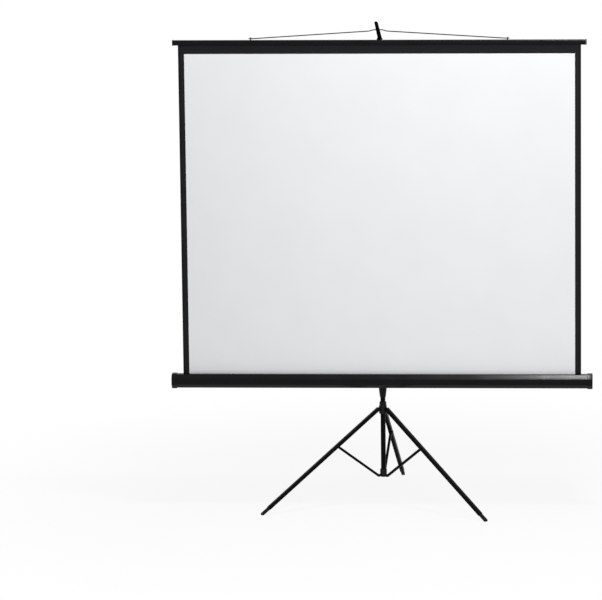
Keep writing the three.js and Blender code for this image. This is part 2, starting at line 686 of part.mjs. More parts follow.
// Case: shell with the fabric slot along its top
const caseHalf = CASE_LENGTH / 2;
const capWall = CAP_WALL + CAP_DOME;
const capPocket = caseHalf - capWall;
const shellHalf = capPocket - CLEARANCE;
const shellOuter = roundedOutline(octagon(CASE_FLATS), CASE_CORNER);
const shellInner = roundedOutline(octagon(CASE_FLATS - 2 * CASE_WALL), CASE_CORNER - CASE_WALL);
const slotY = fabricY - caseY;
const shell = cut(
  alongX(prism(shellOuter, -shellHalf, shellHalf)),
  alongX(prism(shellInner, -shellHalf - 1, shellHalf + 1)),
  box(-shellHalf - 1, shellHalf + 1, slotY - CASE_SLOT / 2, slotY + CASE_SLOT / 2, 0, CASE_FLATS),
);
add('case_shell', shell.translate(0, caseY, CASE_HEIGHT), BLACK_ENAMEL);

// Case: domed end cap with a bearing for the roller's axle, made for the right end
const capFlats = CASE_FLATS + 2 * (CLEARANCE + CAP_WALL);
const bearingHole = AXLE_RADIUS + CLEARANCE;
const rollerHalf = sheetHalf + ROLLER_MARGIN;
const axleEnd = caseHalf - CAP_WALL - CAP_DOME / 2;

function endCap() {
  const capShape = new THREE.Shape(
    roundedOutline(octagon(capFlats - 2 * CAP_DOME), CASE_CORNER).map(([y, z]) => new THREE.Vector2(y, z)));
  const body = new THREE.ExtrudeGeometry(capShape, {
    depth: CAP_LENGTH,
    bevelThickness: CAP_DOME,
    bevelSize: CAP_DOME,
    bevelSegments: 3,
  });
  const start = caseHalf - CAP_LENGTH;
  const onRoller = (geometry) => geometry.rotateY(Math.PI / 2).translate(0, -ROLLER_OFFSET, 0);
  const bearing = onRoller(bar(2 * AXLE_RADIUS, rollerHalf + 2 * PLUG_FLANGE, capPocket + 1, SMALL_ROUND));
  const pocketOutline = roundedOutline(octagon(CASE_FLATS + 2 * CLEARANCE), CASE_CORNER);
  const cup = cut(
    alongX(body.translate(0, 0, start - CAP_DOME)),
    box(start - 2 * CAP_DOME, start, -capFlats, capFlats, -capFlats, capFlats),
    alongX(prism(pocketOutline, start - 1, capPocket)),
  );
  return cut(join(cup, bearing), onRoller(bar(bearingHole, 0, axleEnd + CLEARANCE, SMALL_ROUND)));
}

// Roller plug with its axle, made for the right end
function rollerPlug() {
  const inside = ROLLER_RADIUS - ROLLER_WALL - CLEARANCE;
  const plugStart = rollerHalf - PLUG_LENGTH;
  const flange = rollerHalf + CLEARANCE;
  return revolve([[0, plugStart], [inside, plugStart], [inside, flange], [ROLLER_RADIUS, flange],
    [ROLLER_RADIUS, flange + PLUG_FLANGE], [AXLE_RADIUS, flange + PLUG_FLANGE], [AXLE_RADIUS, axleEnd],
    [0, axleEnd]]).rotateY(Math.PI / 2);
}

const onCaseAxis = (geometry) => geometry.translate(0, caseY, CASE_HEIGHT);
const onRollerAxis = (geometry) => geometry.translate(0, rollerY, CASE_HEIGHT);
const otherEnd = (geometry) => geometry.applyMatrix4(new THREE.Matrix4().makeScale(-1, 1, 1));

add('end_cap_right', onCaseAxis(endCap()), BLACK_PLASTIC);
add('end_cap_left', onCaseAxis(otherEnd(endCap())), BLACK_PLASTIC);
add('roller_plug_right', onRollerAxis(rollerPlug()), BLACK_PLASTIC);
add('roller_plug_left', onRollerAxis(otherEnd(rollerPlug())), BLACK_PLASTIC);
const rollerTube = tube(ROLLER_RADIUS - ROLLER_WALL, ROLLER_RADIUS, -rollerHalf, rollerHalf);
add('roller_tube', onRollerAxis(rollerTube.rotateY(Math.PI / 2)), ZINC_STEEL);
const fabricRoll = tube(ROLLER_RADIUS + CLEARANCE, rollRadius, -sheetHalf, sheetHalf);
add('fabric_roll', onRollerAxis(fabricRoll.rotateY(Math.PI / 2)), WHITE_SHEET);

// Roller: counterbalance spring round its spindle, against the right plug
const spindleEnd = rollerHalf - PLUG_LENGTH - CLEARANCE;
const springEnd = spindleEnd - SPRING_WIRE;
const springLength = SPRING_TURNS * SPRING_PITCH;
const spindleStart = springEnd - springLength - 2 * SPRING_WIRE;
add('spring_spindle', onRollerAxis(
  bar(SPINDLE_RADIUS, spindleStart, spindleEnd, SMALL_ROUND).rotateY(Math.PI / 2)), ZINC_STEEL);

class SpringCurve extends THREE.Curve {
  getPoint(share, target = new THREE.Vector3()) {
    const angle = share * SPRING_TURNS * 2 * Math.PI;
    return target.set(
      springEnd - springLength * (1 - share),
      SPRING_RADIUS * Math.cos(angle),
      SPRING_RADIUS * Math.sin(angle));
  }
}

// Round section for a wire
function wireSection(radius, sides) {
  const points = Array.from({ length: sides }, (_, index) => {
    const angle = (index * 2 * Math.PI) / sides;
    return new THREE.Vector2(radius * Math.cos(angle), radius * Math.sin(angle));
  });
  return new THREE.Shape(points);
}

add('roller_spring', onRollerAxis(new THREE.ExtrudeGeometry(wireSection(SPRING_WIRE, 5), {
  steps: SPRING_TURNS * 8,
  bevelEnabled: false,
  extrudePath: new SpringCurve(),
})), ZINC_STEEL);

// Screen: sheet from the roller up into the slat's groove
add('screen_fabric', box(-sheetHalf, sheetHalf, fabricY - FABRIC_THICKNESS / 2,
  fabricY + FABRIC_THICKNESS / 2, CASE_HEIGHT, slatBottom + SLAT_GROOVE - CLEARANCE), WHITE_SHEET);

// Screen: top slat and its end caps
const slatHalf = SLAT_LENGTH / 2;
const slatOutline = (grow) => {
  const half = SLAT_DEPTH / 2 + grow;
  return roundedOutline([[-half, slatBottom - grow], [half, slatBottom - grow],
    [half, SLAT_TOP + grow], [-half, SLAT_TOP + grow]], SLAT_CORNER + grow);
};
const grooveHalf = FABRIC_THICKNESS / 2 + CLEARANCE;
const slat = cut(
  alongX(prism(slatOutline(0), -slatHalf, slatHalf)),
  alongX(prism(slatOutline(-SLAT_WALL), -slatHalf - 1, slatHalf + 1)),
  box(-slatHalf - 1, slatHalf + 1, -grooveHalf, grooveHalf, slatBottom - 1, slatBottom + SLAT_GROOVE),
);
add('top_slat', slat.translate(0, fabricY, 0), BLACK_ENAMEL);
const slatCapStart = slatHalf + CLEARANCE;
const slatCap = () => alongX(prism(slatOutline(SLAT_CAP_RIM), slatCapStart, slatCapStart + SLAT_CAP));
add('slat_cap_right', slatCap().translate(0, fabricY, 0), BLACK_PLASTIC);
add('slat_cap_left', otherEnd(slatCap()).translate(0, fabricY, 0), BLACK_PLASTIC);

// Screen: eyes on the slat and the hanger wire that lies on the arm's ledge
const eyeHeight = SLAT_TOP + CLEARANCE + EYE_RISE;
const eyeOutline = [[-EYE_HALF_WIDTH, SLAT_TOP + CLEARANCE], [EYE_HALF_WIDTH, SLAT_TOP + CLEARANCE]];
for (let step = 0; step <= 6; step += 1) {
  const angle = (step * Math.PI) / 6;
  eyeOutline.push([EYE_HALF_WIDTH * Math.cos(angle), eyeHeight + EYE_HALF_WIDTH * Math.sin(angle)]);
}
function bailEye(x) {
  const plate = alongX(prism(eyeOutline, x - EYE_THICKNESS / 2, x + EYE_THICKNESS / 2));
  const hole = bar(WIRE_RADIUS + CLEARANCE, x - EYE_THICKNESS, x + EYE_THICKNESS, SMALL_ROUND)
    .rotateY(Math.PI / 2).translate(0, 0, eyeHeight);
  return cut(plate, hole).translate(0, fabricY, 0);
}
add('bail_eye_left', bailEye(-EYE_SPREAD), BLACK_ENAMEL);
add('bail_eye_right', bailEye(EYE_SPREAD), BLACK_ENAMEL);

const wireRise = ARM_LEDGE_RISE + CLEARANCE + WIRE_RADIUS;
const wireBehind = (WIRE_RADIUS + WIRE_PLAY) / Math.cos(THREE.MathUtils.degToRad(ARM_LEAN_FORWARD));
const wireSeat = new THREE.Vector3(
  armShift(wireRise), wireBehind - wireRise * slope(ARM_LEAN_FORWARD), armPinHeight + wireRise);
const wirePoints = [
  new THREE.Vector3(-EYE_SPREAD - WIRE_TAIL, fabricY, eyeHeight),
  new THREE.Vector3(-EYE_SPREAD + WIRE_TAIL, fabricY, eyeHeight),
  new THREE.Vector3(wireSeat.x - WIRE_SHOULDER, wireSeat.y, wireSeat.z - WIRE_DROP),
  new THREE.Vector3(wireSeat.x - WIRE_HUMP, wireSeat.y, wireSeat.z),
  new THREE.Vector3(wireSeat.x + WIRE_HUMP, wireSeat.y, wireSeat.z),
  new THREE.Vector3(wireSeat.x + WIRE_SHOULDER, wireSeat.y, wireSeat.z - WIRE_DROP),
  new THREE.Vector3(EYE_SPREAD - WIRE_TAIL, fabricY, eyeHeight),
  new THREE.Vector3(EYE_SPREAD + WIRE_TAIL, fabricY, eyeHeight),
];
const wireCurve = new THREE.CatmullRomCurve3(wirePoints, false, 'catmullrom', 0);
add('bail_wire', new THREE.ExtrudeGeometry(wireSection(WIRE_RADIUS, 8), {
  steps: 80,
  bevelEnabled: false,
  extrudePath: wireCurve,
}), BLACK_ENAMEL);

// Origin on the floor under the middle of the whole object
const extent = new THREE.Box3().setFromObject(screen);
const middle = extent.getCenter(new THREE.Vector3());
screen.children.forEach((piece) => piece.geometry.translate(-middle.x, -middle.y, -extent.min.z));

export default screen;
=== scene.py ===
"""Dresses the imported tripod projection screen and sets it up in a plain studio.

Sizes are in millimetres in the classes and in metres in the meshes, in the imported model's own frame:
+Z is up, and the viewer of the white sheet stands at -Y.
"""

import json
import logging
import math
from collections.abc import Sequence
from dataclasses import dataclass
from enum import Enum
from typing import Any

import bmesh
import bpy
import numpy as np
from mathutils import Matrix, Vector
from mathutils.geometry import tessellate_polygon
from numpy.typing import NDArray

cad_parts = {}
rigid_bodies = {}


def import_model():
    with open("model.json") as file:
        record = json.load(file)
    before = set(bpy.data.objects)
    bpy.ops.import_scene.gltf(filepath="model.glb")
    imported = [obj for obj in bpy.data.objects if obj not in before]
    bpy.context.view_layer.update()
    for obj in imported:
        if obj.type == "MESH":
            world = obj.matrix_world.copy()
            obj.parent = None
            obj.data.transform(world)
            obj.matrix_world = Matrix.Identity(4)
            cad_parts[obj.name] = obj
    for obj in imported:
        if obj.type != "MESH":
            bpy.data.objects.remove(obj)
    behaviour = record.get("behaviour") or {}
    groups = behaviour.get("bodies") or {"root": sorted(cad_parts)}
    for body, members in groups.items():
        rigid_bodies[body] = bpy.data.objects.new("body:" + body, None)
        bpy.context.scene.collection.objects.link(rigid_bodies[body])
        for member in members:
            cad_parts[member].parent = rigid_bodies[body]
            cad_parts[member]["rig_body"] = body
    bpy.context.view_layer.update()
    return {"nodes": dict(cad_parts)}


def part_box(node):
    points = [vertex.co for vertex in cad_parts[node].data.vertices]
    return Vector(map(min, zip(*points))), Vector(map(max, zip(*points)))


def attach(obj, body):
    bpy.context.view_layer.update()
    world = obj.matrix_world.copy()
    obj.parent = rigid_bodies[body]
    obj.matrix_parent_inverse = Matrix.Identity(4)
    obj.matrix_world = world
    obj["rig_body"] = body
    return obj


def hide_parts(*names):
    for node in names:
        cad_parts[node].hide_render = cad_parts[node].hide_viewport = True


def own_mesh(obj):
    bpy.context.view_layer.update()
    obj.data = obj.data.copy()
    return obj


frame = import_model()

Array = NDArray[np.float64]
MM = 0.001
LOG = logging.getLogger("projection_screen")
EAST, NORTH, UP = np.eye(3)


class Ease(Enum):
    """How far a piece's sharp edges are eased, as the width of a bevel in millimetres."""

    NONE = 0.0
    FINE = 0.3


class Trim(Enum):
    """Whether a piece is cut off flat where it stands on the floor."""

    NONE = "none"
    FLOOR = "floor"


# Colours and materials


def linear(hex_code: str) -> tuple[float, float, float, float]:
    """Turns an sRGB hex colour to linear.

    Args:
        hex_code: six hex digits.

    Returns:
        Red, green and blue from 0 to 1, and an alpha of 1.
    """
    shares = (int(hex_code[i : i + 2], 16) / 255 for i in (0, 2, 4))
    red, green, blue = (c / 12.92 if c <= 0.04045 else ((c + 0.055) / 1.055) ** 2.4 for c in shares)
    return red, green, blue, 1.0


def add_node(tree: bpy.types.NodeTree, kind: str, inputs: dict[Any, Any], **settings: Any) -> bpy.types.Node:
    """Adds a node, with its settings made and each of its inputs set or linked.

    Args:
        tree: the node tree that takes it.
        kind: the node's type.
        inputs: a value, or another node's output, for each input by name or number.
        settings: the node's own options.

    Returns:
        The new node.
    """
    node = tree.nodes.new(kind)
    for name, value in settings.items():
        setattr(node, name, value)
    for name, value in inputs.items():
        if isinstance(value, bpy.types.NodeSocket):
            tree.links.new(value, node.inputs[name])
        else:
            node.inputs[name].default_value = value
    return node


def blank_material(name: str) -> bpy.types.Material:
    """Makes a material with an empty node tree."""
    material = bpy.data.materials.new(name)
    material.use_nodes = True
    material.node_tree.nodes.clear()
    return material


@dataclass(frozen=True)
class Finish:
    """A skin with a fine grain, whose tone and gloss drift from patch to patch.

    Attributes:
        name: the material's name.
        slot: the record's material slot.
        tones: darker and lighter sRGB colour.
        gloss: lowest and highest roughness.
        grain_mm: width of a grain.
        depth_mm: depth of the grain.
        patch_mm: width of a patch.
        metallic: 1 for a bare metal.
        mirror: share of the light that is mirrored head-on, where 0.5 stands for 4 %.
    """

    name: str
    slot: str
    tones: tuple[str, str]
    gloss: tuple[float, float]
    grain_mm: float
    depth_mm: float
    patch_mm: float
    metallic: float = 0.0
    mirror: float = 0.5

    def material(self) -> bpy.types.Material:
        """Builds the material on Object coordinates."""
        material = blank_material(self.name)
        tree = material.node_tree
        place = add_node(tree, "ShaderNodeTexCoord", {}).outputs["Object"]
        patch = add_node(tree, "ShaderNodeTexNoise", {"Vector": place, "Scale": 1 / (self.patch_mm * MM)})
        grain = add_node(tree, "ShaderNodeTexNoise", {"Vector": place, "Scale": 1 / (self.grain_mm * MM)})
        drift = {"Value": patch.outputs[0], "From Min": 0.3, "From Max": 0.7}
        share = add_node(tree, "ShaderNodeMapRange", drift)
        span = {"To Min": self.gloss[0], "To Max": self.gloss[1]}
        rough = add_node(tree, "ShaderNodeMapRange", drift | span)
        tones = {0: share.outputs[0], 6: linear(self.tones[0]), 7: linear(self.tones[1])}
        colour = add_node(tree, "ShaderNodeMix", tones, data_type="RGBA")
        relief = {"Height": grain.outputs[0], "Distance": self.depth_mm * MM}
        skin = {
            "Base Color": colour.outputs[2],
            "Roughness": rough.outputs[0],
            "Metallic": self.metallic,
            "Specular IOR Level": self.mirror,
            "Normal": add_node(tree, "ShaderNodeBump", relief).outputs[0],
        }
        shader = add_node(tree, "ShaderNodeBsdfPrincipled", skin)
        add_node(tree, "ShaderNodeOutputMaterial", {"Surface": shader.outputs[0]})
        return material


# Stove enamel on steel: a satin skin with a faint orange peel, so highlights run long and soft
STOVE_ENAMEL = Finish(
    "black_stove_enamel", "black_enamel", ("08080a", "0c0d0f"), (0.19, 0.24), 2.4, 0.01, 70.0, mirror=0.1
)
# The same enamel sprayed thinner on the stand: a deeper black with a softer, weaker sheen
STAND_ENAMEL = Finish(
    "black_satin_enamel", "black_enamel", ("060607", "0a0a0c"), (0.3, 0.38), 2.4, 0.01, 70.0, mirror=0.04
)
# Moulded polypropylene: the mould's spark-eroded grain scatters the highlight
MOULDED_BLACK = Finish(
    "moulded_black_polypropylene",
    "black_plastic",
    ("0a0a0b", "101113"),
    (0.44, 0.56),
    1.1,
    0.05,
    18.0,
    mirror=0.14,
)
# Moulded ABS from a polished mould: as glossy as the enamel next to it
POLISHED_BLACK = Finish(
    "moulded_black_abs", "black_plastic", ("08080a", "0c0d0f"), (0.20, 0.26), 3.0, 0.01, 18.0, mirror=0.1
)
# Moulded rubber: dull, with a little dust in the patches
TIP_RUBBER = Finish(
    "moulded_black_rubber", "black_rubber", ("0a0a0a", "141313"), (0.72, 0.88), 1.6, 0.1, 9.0, mirror=0.16
)
# Moulded ABS dyed through: even colour and a broad highlight
MOULDED_BLUE = Finish(
    "moulded_blue_abs", "blue_plastic", ("343f9e", "3f4bb2"), (0.32, 0.4), 1.0, 0.015, 14.0
)
# Zinc plate on steel: bright grey metal whose fine crystals drift in tone
ZINC_PLATE = Finish(
    "zinc_plated_steel", "zinc_steel", ("82868b", "a6a9ad"), (0.26, 0.42), 1.2, 0.01, 6.0, metallic=1.0
)
# The cloth wound on the roller: the same coating as the sheet's
WOUND_CLOTH = Finish(
    "wound_white_coated_cloth", "white_sheet", ("e4e5e8", "eeeff1"), (0.8, 0.9), 3.0, 0.05, 120.0
)


@dataclass(frozen=True)
class ScreenCloth:
    """Matt white coated glass cloth with printed black borders.

    The coating scatters light evenly, and the threads show only as a faint tooth. They lie about 0.5 mm
    apart, which is too fine to show, so the tooth is drawn 3 mm wide.

    Attributes:
        width_mm: width of the cloth.
        height_mm: height of the cloth.
        side_mm: width of a side border.
        top_mm: height of the top border, with what the slat holds of it.
        tooth_mm: spacing of the threads as drawn.
        white: darker and lighter tone of the coating.
        print: darker and lighter tone of the border.
    """

    width_mm: float
    height_mm: float
    side_mm: float = 23.0
    top_mm: float = 42.7
    tooth_mm: float = 3.0
    white: tuple[str, str] = ("eff0f2", "f1f2f4")
    print: tuple[str, str] = ("0a0a0c", "0f0f12")

    def material(self) -> bpy.types.Material:
        """Builds the material on the cloth's own UV map, whose unit square is the whole cloth."""
        material = blank_material("matt_white_coated_cloth")
        tree = material.node_tree
        chart = add_node(tree, "ShaderNodeUVMap", {}, uv_map="cloth").outputs[0]
        whole = {0: chart, 1: (self.width_mm, self.height_mm, 0.0)}
        spot = add_node(tree, "ShaderNodeVectorMath", whole, operation="MULTIPLY").outputs[0]
        axes = add_node(tree, "ShaderNodeSeparateXYZ", {0: spot})
        half = self.width_mm / 2
        across = add_node(tree, "ShaderNodeMath", {0: axes.outputs[0], 1: half}, operation="SUBTRACT")
        reach = add_node(tree, "ShaderNodeMath", {0: across.outputs[0]}, operation="ABSOLUTE")
        side_edge = {0: reach.outputs[0], 1: half - self.side_mm}
        side = add_node(tree, "ShaderNodeMath", side_edge, operation="GREATER_THAN")
        top_edge = {0: axes.outputs[1], 1: self.height_mm - self.top_mm}
        top = add_node(tree, "ShaderNodeMath", top_edge, operation="GREATER_THAN")
        edges = {0: side.outputs[0], 1: top.outputs[0]}
        border = add_node(tree, "ShaderNodeMath", edges, operation="MAXIMUM")
        patch = add_node(tree, "ShaderNodeTexNoise", {"Vector": spot, "Scale": 1 / 160})
        drift = {"Value": patch.outputs[0], "From Min": 0.3, "From Max": 0.7}
        share = add_node(tree, "ShaderNodeMapRange", drift).outputs[0]
        fields = [
            add_node(tree, "ShaderNodeMix", {0: share, 6: linear(dark), 7: linear(light)}, data_type="RGBA")
            for dark, light in (self.white, self.print)
        ]
        blend = {0: border.outputs[0], 6: fields[0].outputs[2], 7: fields[1].outputs[2]}
        colour = add_node(tree, "ShaderNodeMix", blend, data_type="RGBA")
        # A wave texture repeats every 2 pi / 20 units at scale 1
        threads = {"Vector": spot, "Scale": math.pi / 10 / self.tooth_mm}
        warp = add_node(tree, "ShaderNodeTexWave", threads, bands_direction="X")
        weft = add_node(tree, "ShaderNodeTexWave", threads, bands_direction="Y")
        crossing = {0: warp.outputs[1], 1: weft.outputs[1]}
        tooth = add_node(tree, "ShaderNodeMath", crossing, operation="MULTIPLY")
        relief = {"Height": tooth.outputs[0], "Strength": 0.3, "Distance": 0.06 * MM}
        gloss = {"Value": border.outputs[0], "To Min": 0.86, "To Max": 0.6}
        rough = add_node(tree, "ShaderNodeMapRange", gloss)
        skin = {
            "Base Color": colour.outputs[2],
            "Roughness": rough.outputs[0],
            "Specular IOR Level": 0.15,
            "Normal": add_node(tree, "ShaderNodeBump", relief).outputs[0],
        }
        shader = add_node(tree, "ShaderNodeBsdfPrincipled", skin)
        add_node(tree, "ShaderNodeOutputMaterial", {"Surface": shader.outputs[0]})
        return material


# Surfaces


@dataclass
class Shell:
    """Points, in metres, and faces of one or more surfaces."""

    points: Array
    faces: list[list[int]]


def joined(*shells: Shell) -> Shell:
    """Puts several surfaces into one, each with its faces' numbers moved past the ones before."""
    starts = np.cumsum([0] + [len(shell.points) for shell in shells])
    faces = [[int(start) + i for i in face] for shell, start in zip(shells, starts) for face in shell.faces]
    return Shell(np.concatenate([shell.points for shell in shells]), faces)


def grid(points: Array, wrap: bool = True, ends: bool = True, flat: Array | None = None) -> Shell:
    """A surface on a grid: face (i, j) joins rows i and i + 1 between columns j and j + 1.

    Args:
        points: rows x columns x 3.
        wrap: whether the last column joins the first.
        ends: whether the first and last row are closed by a face each.
        flat: outline, columns x 2, whose triangles close ends that aren't flat.

    Returns:
        The surface.
    """
    rows, columns = points.shape[:2]
    i = np.arange(rows - 1)[:, None] * columns
    j = np.arange(columns if wrap else columns - 1)[None]
    after = (j + 1) % columns
    corners = [i + j, i + after, i + columns + after, i + columns + j]
    faces = np.stack(corners, axis=-1).reshape(-1, 4).tolist()
    if flat is not None:
        cut = np.array(tessellate_polygon([np.pad(flat, ((0, 0), (0, 1))).tolist()]))
        faces += np.concatenate([cut[:, ::-1], cut + (rows - 1) * columns]).tolist()
    elif ends:
        faces.append(list(range(columns))[::-1])
        faces.append(list(range((rows - 1) * columns, rows * columns)))
    return Shell(points.reshape(-1, 3), faces)


def sweep(outline: Array, path: Array, first: Array, second: Array) -> Array:
    """An outline carried along a path: path + a first + b second for each of the outline's points (a, b).

    Args:
        outline: columns x 2, or rows x columns x 2 where it changes on the way, in millimetres.
        path: rows x 3, in millimetres.
        first: direction of a, one for all rows or one for each.
        second: direction of b.

    Returns:
        Grid of points in metres.
    """
    shape = np.broadcast_to(outline, (len(path), *outline.shape[-2:]))
    one = np.broadcast_to(first, path.shape)[:, None]
    two = np.broadcast_to(second, path.shape)[:, None]
    return (path[:, None] + shape[..., :1] * one + shape[..., 1:] * two) * MM


def lathe(
    profile: Sequence[tuple[float, float]],
    centre: Array,
    axis: Array = UP,
    columns: int = 48,
    lobes: Array | None = None,
) -> Array:
    """A profile of (radius r, distance h) turned about an axis: centre + h axis + r (cos t, sin t) across it.

    Args:
        profile: points in millimetres.
        centre: where h is 0, in millimetres.
        axis: direction of h.
        columns: points round the axis.
        lobes: rows x columns of factors on the radius.

    Returns:
        Grid of points in metres.
    """
    radius, height = np.array(profile, float).T
    turn = np.linspace(0, 2 * np.pi, columns, endpoint=False)
    first = NORTH if abs(axis[2]) > 0.5 else UP
    second = np.cross(axis, first)
    reach = radius[:, None] * (1.0 if lobes is None else lobes)
    outline = np.stack([reach * np.cos(turn), reach * np.sin(turn)], axis=-1)
    return sweep(outline, centre + height[:, None] * axis, first, second)


def rounded(corners: Sequence[tuple[float, float]], radii: float | Sequence[float], steps: int = 7) -> Array:
    """A polygon with each corner an arc that touches both of its sides.

    Args:
        corners: the corners in order.
        radii: one radius, or one for each corner.
        steps: points on each arc.

    Returns:
        Outline of columns x 2.
    """
    here = np.array(corners, float)
    radius = np.broadcast_to(np.array(radii, float), len(here))[:, None]
    back = np.roll(here, 1, axis=0) - here
    ahead = np.roll(here, -1, axis=0) - here
    back /= np.linalg.norm(back, axis=1, keepdims=True)
    ahead /= np.linalg.norm(ahead, axis=1, keepdims=True)
    half = np.arccos(np.clip((back * ahead).sum(axis=1, keepdims=True), -1, 1)) / 2
    middle = (back + ahead) / np.linalg.norm(back + ahead, axis=1, keepdims=True)
    centre = here + middle * radius / np.sin(half)
    start = here + back * radius / np.tan(half) - centre
    side = np.sign(back[:, 1] * ahead[:, 0] - back[:, 0] * ahead[:, 1])[:, None]
    turn = (np.pi - 2 * half) * side * np.linspace(0, 1, steps)
    x = start[:, :1] * np.cos(turn) - start[:, 1:] * np.sin(turn)
    y = start[:, :1] * np.sin(turn) + start[:, 1:] * np.cos(turn)
    return (centre[:, None] + np.stack([x, y], axis=-1)).reshape(-1, 2)


def subdivided(outline: Array, step: float) -> Array:
    """An outline with more points on its long sides, spaced by no more than a step.

    Args:
        outline: columns x 2.
        step: greatest spacing.

    Returns:
        The finer outline.
    """
    ahead = np.roll(outline, -1, axis=0)
    counts = np.maximum(np.ceil(np.linalg.norm(ahead - outline, axis=1) / step).astype(int), 1)
    side = np.repeat(np.arange(len(outline)), counts)
    share = (np.arange(len(side)) - np.repeat(np.cumsum(counts) - counts, counts)) / counts[side]
    return outline[side] + share[:, None] * (ahead - outline)[side]


def rectangle(low_a: float, high_a: float, low_b: float, high_b: float) -> list[tuple[float, float]]:
    """Corners of a rectangle in order."""
    return [(low_a, low_b), (high_a, low_b), (high_a, high_b), (low_a, high_b)]


def octagon(flats: float) -> list[tuple[float, float]]:
    """Corners in (y, z) of an octagon with flats on all four sides, from the upper corner behind."""
    turn = (np.arange(8) + 0.5) * np.pi / 4
    reach = flats / 2 / math.cos(math.pi / 8)
    return list(zip(reach * np.cos(turn), reach * np.sin(turn)))


def eyebar(length: float, radius: float, root: float) -> Array:
    """Outline from a = 0, where it rises to root, to a = length, where it ends in a half circle."""
    turn = np.linspace(-np.pi / 2, np.pi / 2, 13)
    end = np.stack([length + radius * np.cos(turn), radius * np.sin(turn)], axis=-1)
    return np.concatenate([[(0.0, -radius)], end, [(0.0, root)]])


def span_of(node: str) -> tuple[Array, Array]:
    """Lowest and highest corner of a CAD node, in millimetres."""
    low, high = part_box(node)
    return np.array(low) / MM, np.array(high) / MM


# Foot of the post's axis on the floor
POST = np.array([sum(span_of("outer_tube"))[0] / 2, sum(span_of("outer_tube"))[1] / 2, 0.0])


class Wardrobe:
    """Makes each finish once, and puts pieces into the scene in place of CAD nodes."""

    def __init__(self) -> None:
        """Starts with no material made."""
        self.made: dict[Finish | ScreenCloth, bpy.types.Material] = {}

    def material(self, finish: Finish | ScreenCloth) -> bpy.types.Material:
        """Gives a finish's material, which is made on its first use."""
        if finish not in self.made:
            self.made[finish] = finish.material()
        return self.made[finish]

    def piece(
        self,
        name: str,
        node: str,
        shell: Shell,
        finish: Finish,
        ease: Ease = Ease.NONE,
        trim: Trim = Trim.NONE,
        crease: float = 34.0,
    ) -> bpy.types.Object:
        """Puts a surface into the scene in place of a CAD node.

        Args:
            name: name of the piece.
            node: the CAD node that it stands for and rides with.
            shell: its surface.
            finish: its finish.
            ease: how far its sharp edges are eased.
            trim: whether it is cut off at the floor.
            crease: angle in degrees from which an edge is sharp.

        Returns:
            The new object.
        """
        mesh = bpy.data.meshes.new(name)
        mesh.from_pydata(shell.points.tolist(), [], shell.faces)
        work = bmesh.new()
        work.from_mesh(mesh)
        bmesh.ops.remove_doubles(work, verts=work.verts, dist=2e-6)
        if trim is Trim.FLOOR:
            whole = [*work.verts, *work.edges, *work.faces]
            bmesh.ops.bisect_plane(work, geom=whole, plane_co=(0, 0, 0), plane_no=(0, 0, 1), clear_inner=True)
            bmesh.ops.holes_fill(work, edges=[edge for edge in work.edges if edge.is_boundary], sides=0)
        bmesh.ops.recalc_face_normals(work, faces=work.faces)
        work.to_mesh(mesh)
        work.free()
        mesh.shade_smooth()
        mesh.set_sharp_from_angle(angle=math.radians(crease))
        mesh.materials.append(self.material(finish))
        piece = bpy.data.objects.new(name, mesh)
        bpy.context.scene.collection.objects.link(piece)
        if ease is not Ease.NONE:
            bevel = piece.modifiers.new("eased_edges", "BEVEL")
            bevel.width = ease.value * MM
            bevel.segments = 2
            bevel.limit_method = "ANGLE"
            bevel.angle_limit = math.radians(crease)
        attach(piece, frame["nodes"][node]["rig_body"])
        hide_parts(node)
        LOG.info("%s stands for %s: %d faces", name, node, len(mesh.polygons))
        return piece

    def dress(self, node: str, finish: Finish) -> None:
        """Gives a CAD node that keeps its shape its finish."""
        body = frame["nodes"][node]
        if not body.material_slots:
            body.data.materials.append(None)
        for slot in body.material_slots:
            slot.material = self.material(finish)
        LOG.info("%s keeps its shape: %s", node, finish.name)


def knob(
    centre: Array, axis: Array, start: float, neck: float, radius: float, depth: float, lobes: int = 5
) -> Shell:
    """Clamp screw: a shank, a collar and a grip whose radius is r (0.9 + 0.1 cos(lobes t)).

    Args:
        centre: point on the post's axis that the screw points to, in millimetres.
        axis: direction from there to the grip.
        start: distance at which the shank starts.
        neck: distance at which the grip starts.
        radius: greatest radius of the grip.
        depth: depth of the grip.
        lobes: number of lobes.

    Returns:
        The closed surface.
    """
    collar = 0.55 * radius
    end = neck + depth
    shank = [(0, start), (2.6, start), (3, start + 0.4), (3, neck - 3)]
    stem = shank + [(collar, neck - 3), (collar, neck - 0.4)]
    crown = [(0.96, depth - 1.4), (0.86, depth - 0.4), (0.7, depth)]
    grip = [(0.84, 0), (0.95, 0.4), (1, 1.5), (1, depth - 3)] + crown
    dish = [(0.55, end - 0.3), (0.3, end - 1.0), (0, end - 1.2)]
    profile = stem + [(radius * r, neck + h) for r, h in grip] + [(radius * r, h) for r, h in dish]
    turn = np.linspace(0, 2 * np.pi, 60, endpoint=False)
    weight = np.array([0.0] * len(stem) + [1.0] * len(grip) + [0.6, 0.2, 0.0])[:, None]
    factors = 1 - 0.1 * weight * (1 - np.cos(lobes * turn))[None]
    return grid(lathe(profile, centre, axis, 60, factors), ends=False)


def tube(centre: Array, axis: Array, inner: float, outer: float, start: float, end: float) -> Shell:
    """Drawn tube with broken edges, as a closed profile turned about its axis."""
    edge = min(0.4, (outer - inner) / 3)
    profile = [
        (inner, start),
        (outer - edge, start),
        (outer, start + edge),
        (outer, end - edge),
        (outer - edge, end),
        (inner, end),
        (inner, start),
    ]
    return grid(lathe(profile, centre, axis, 64), ends=False)


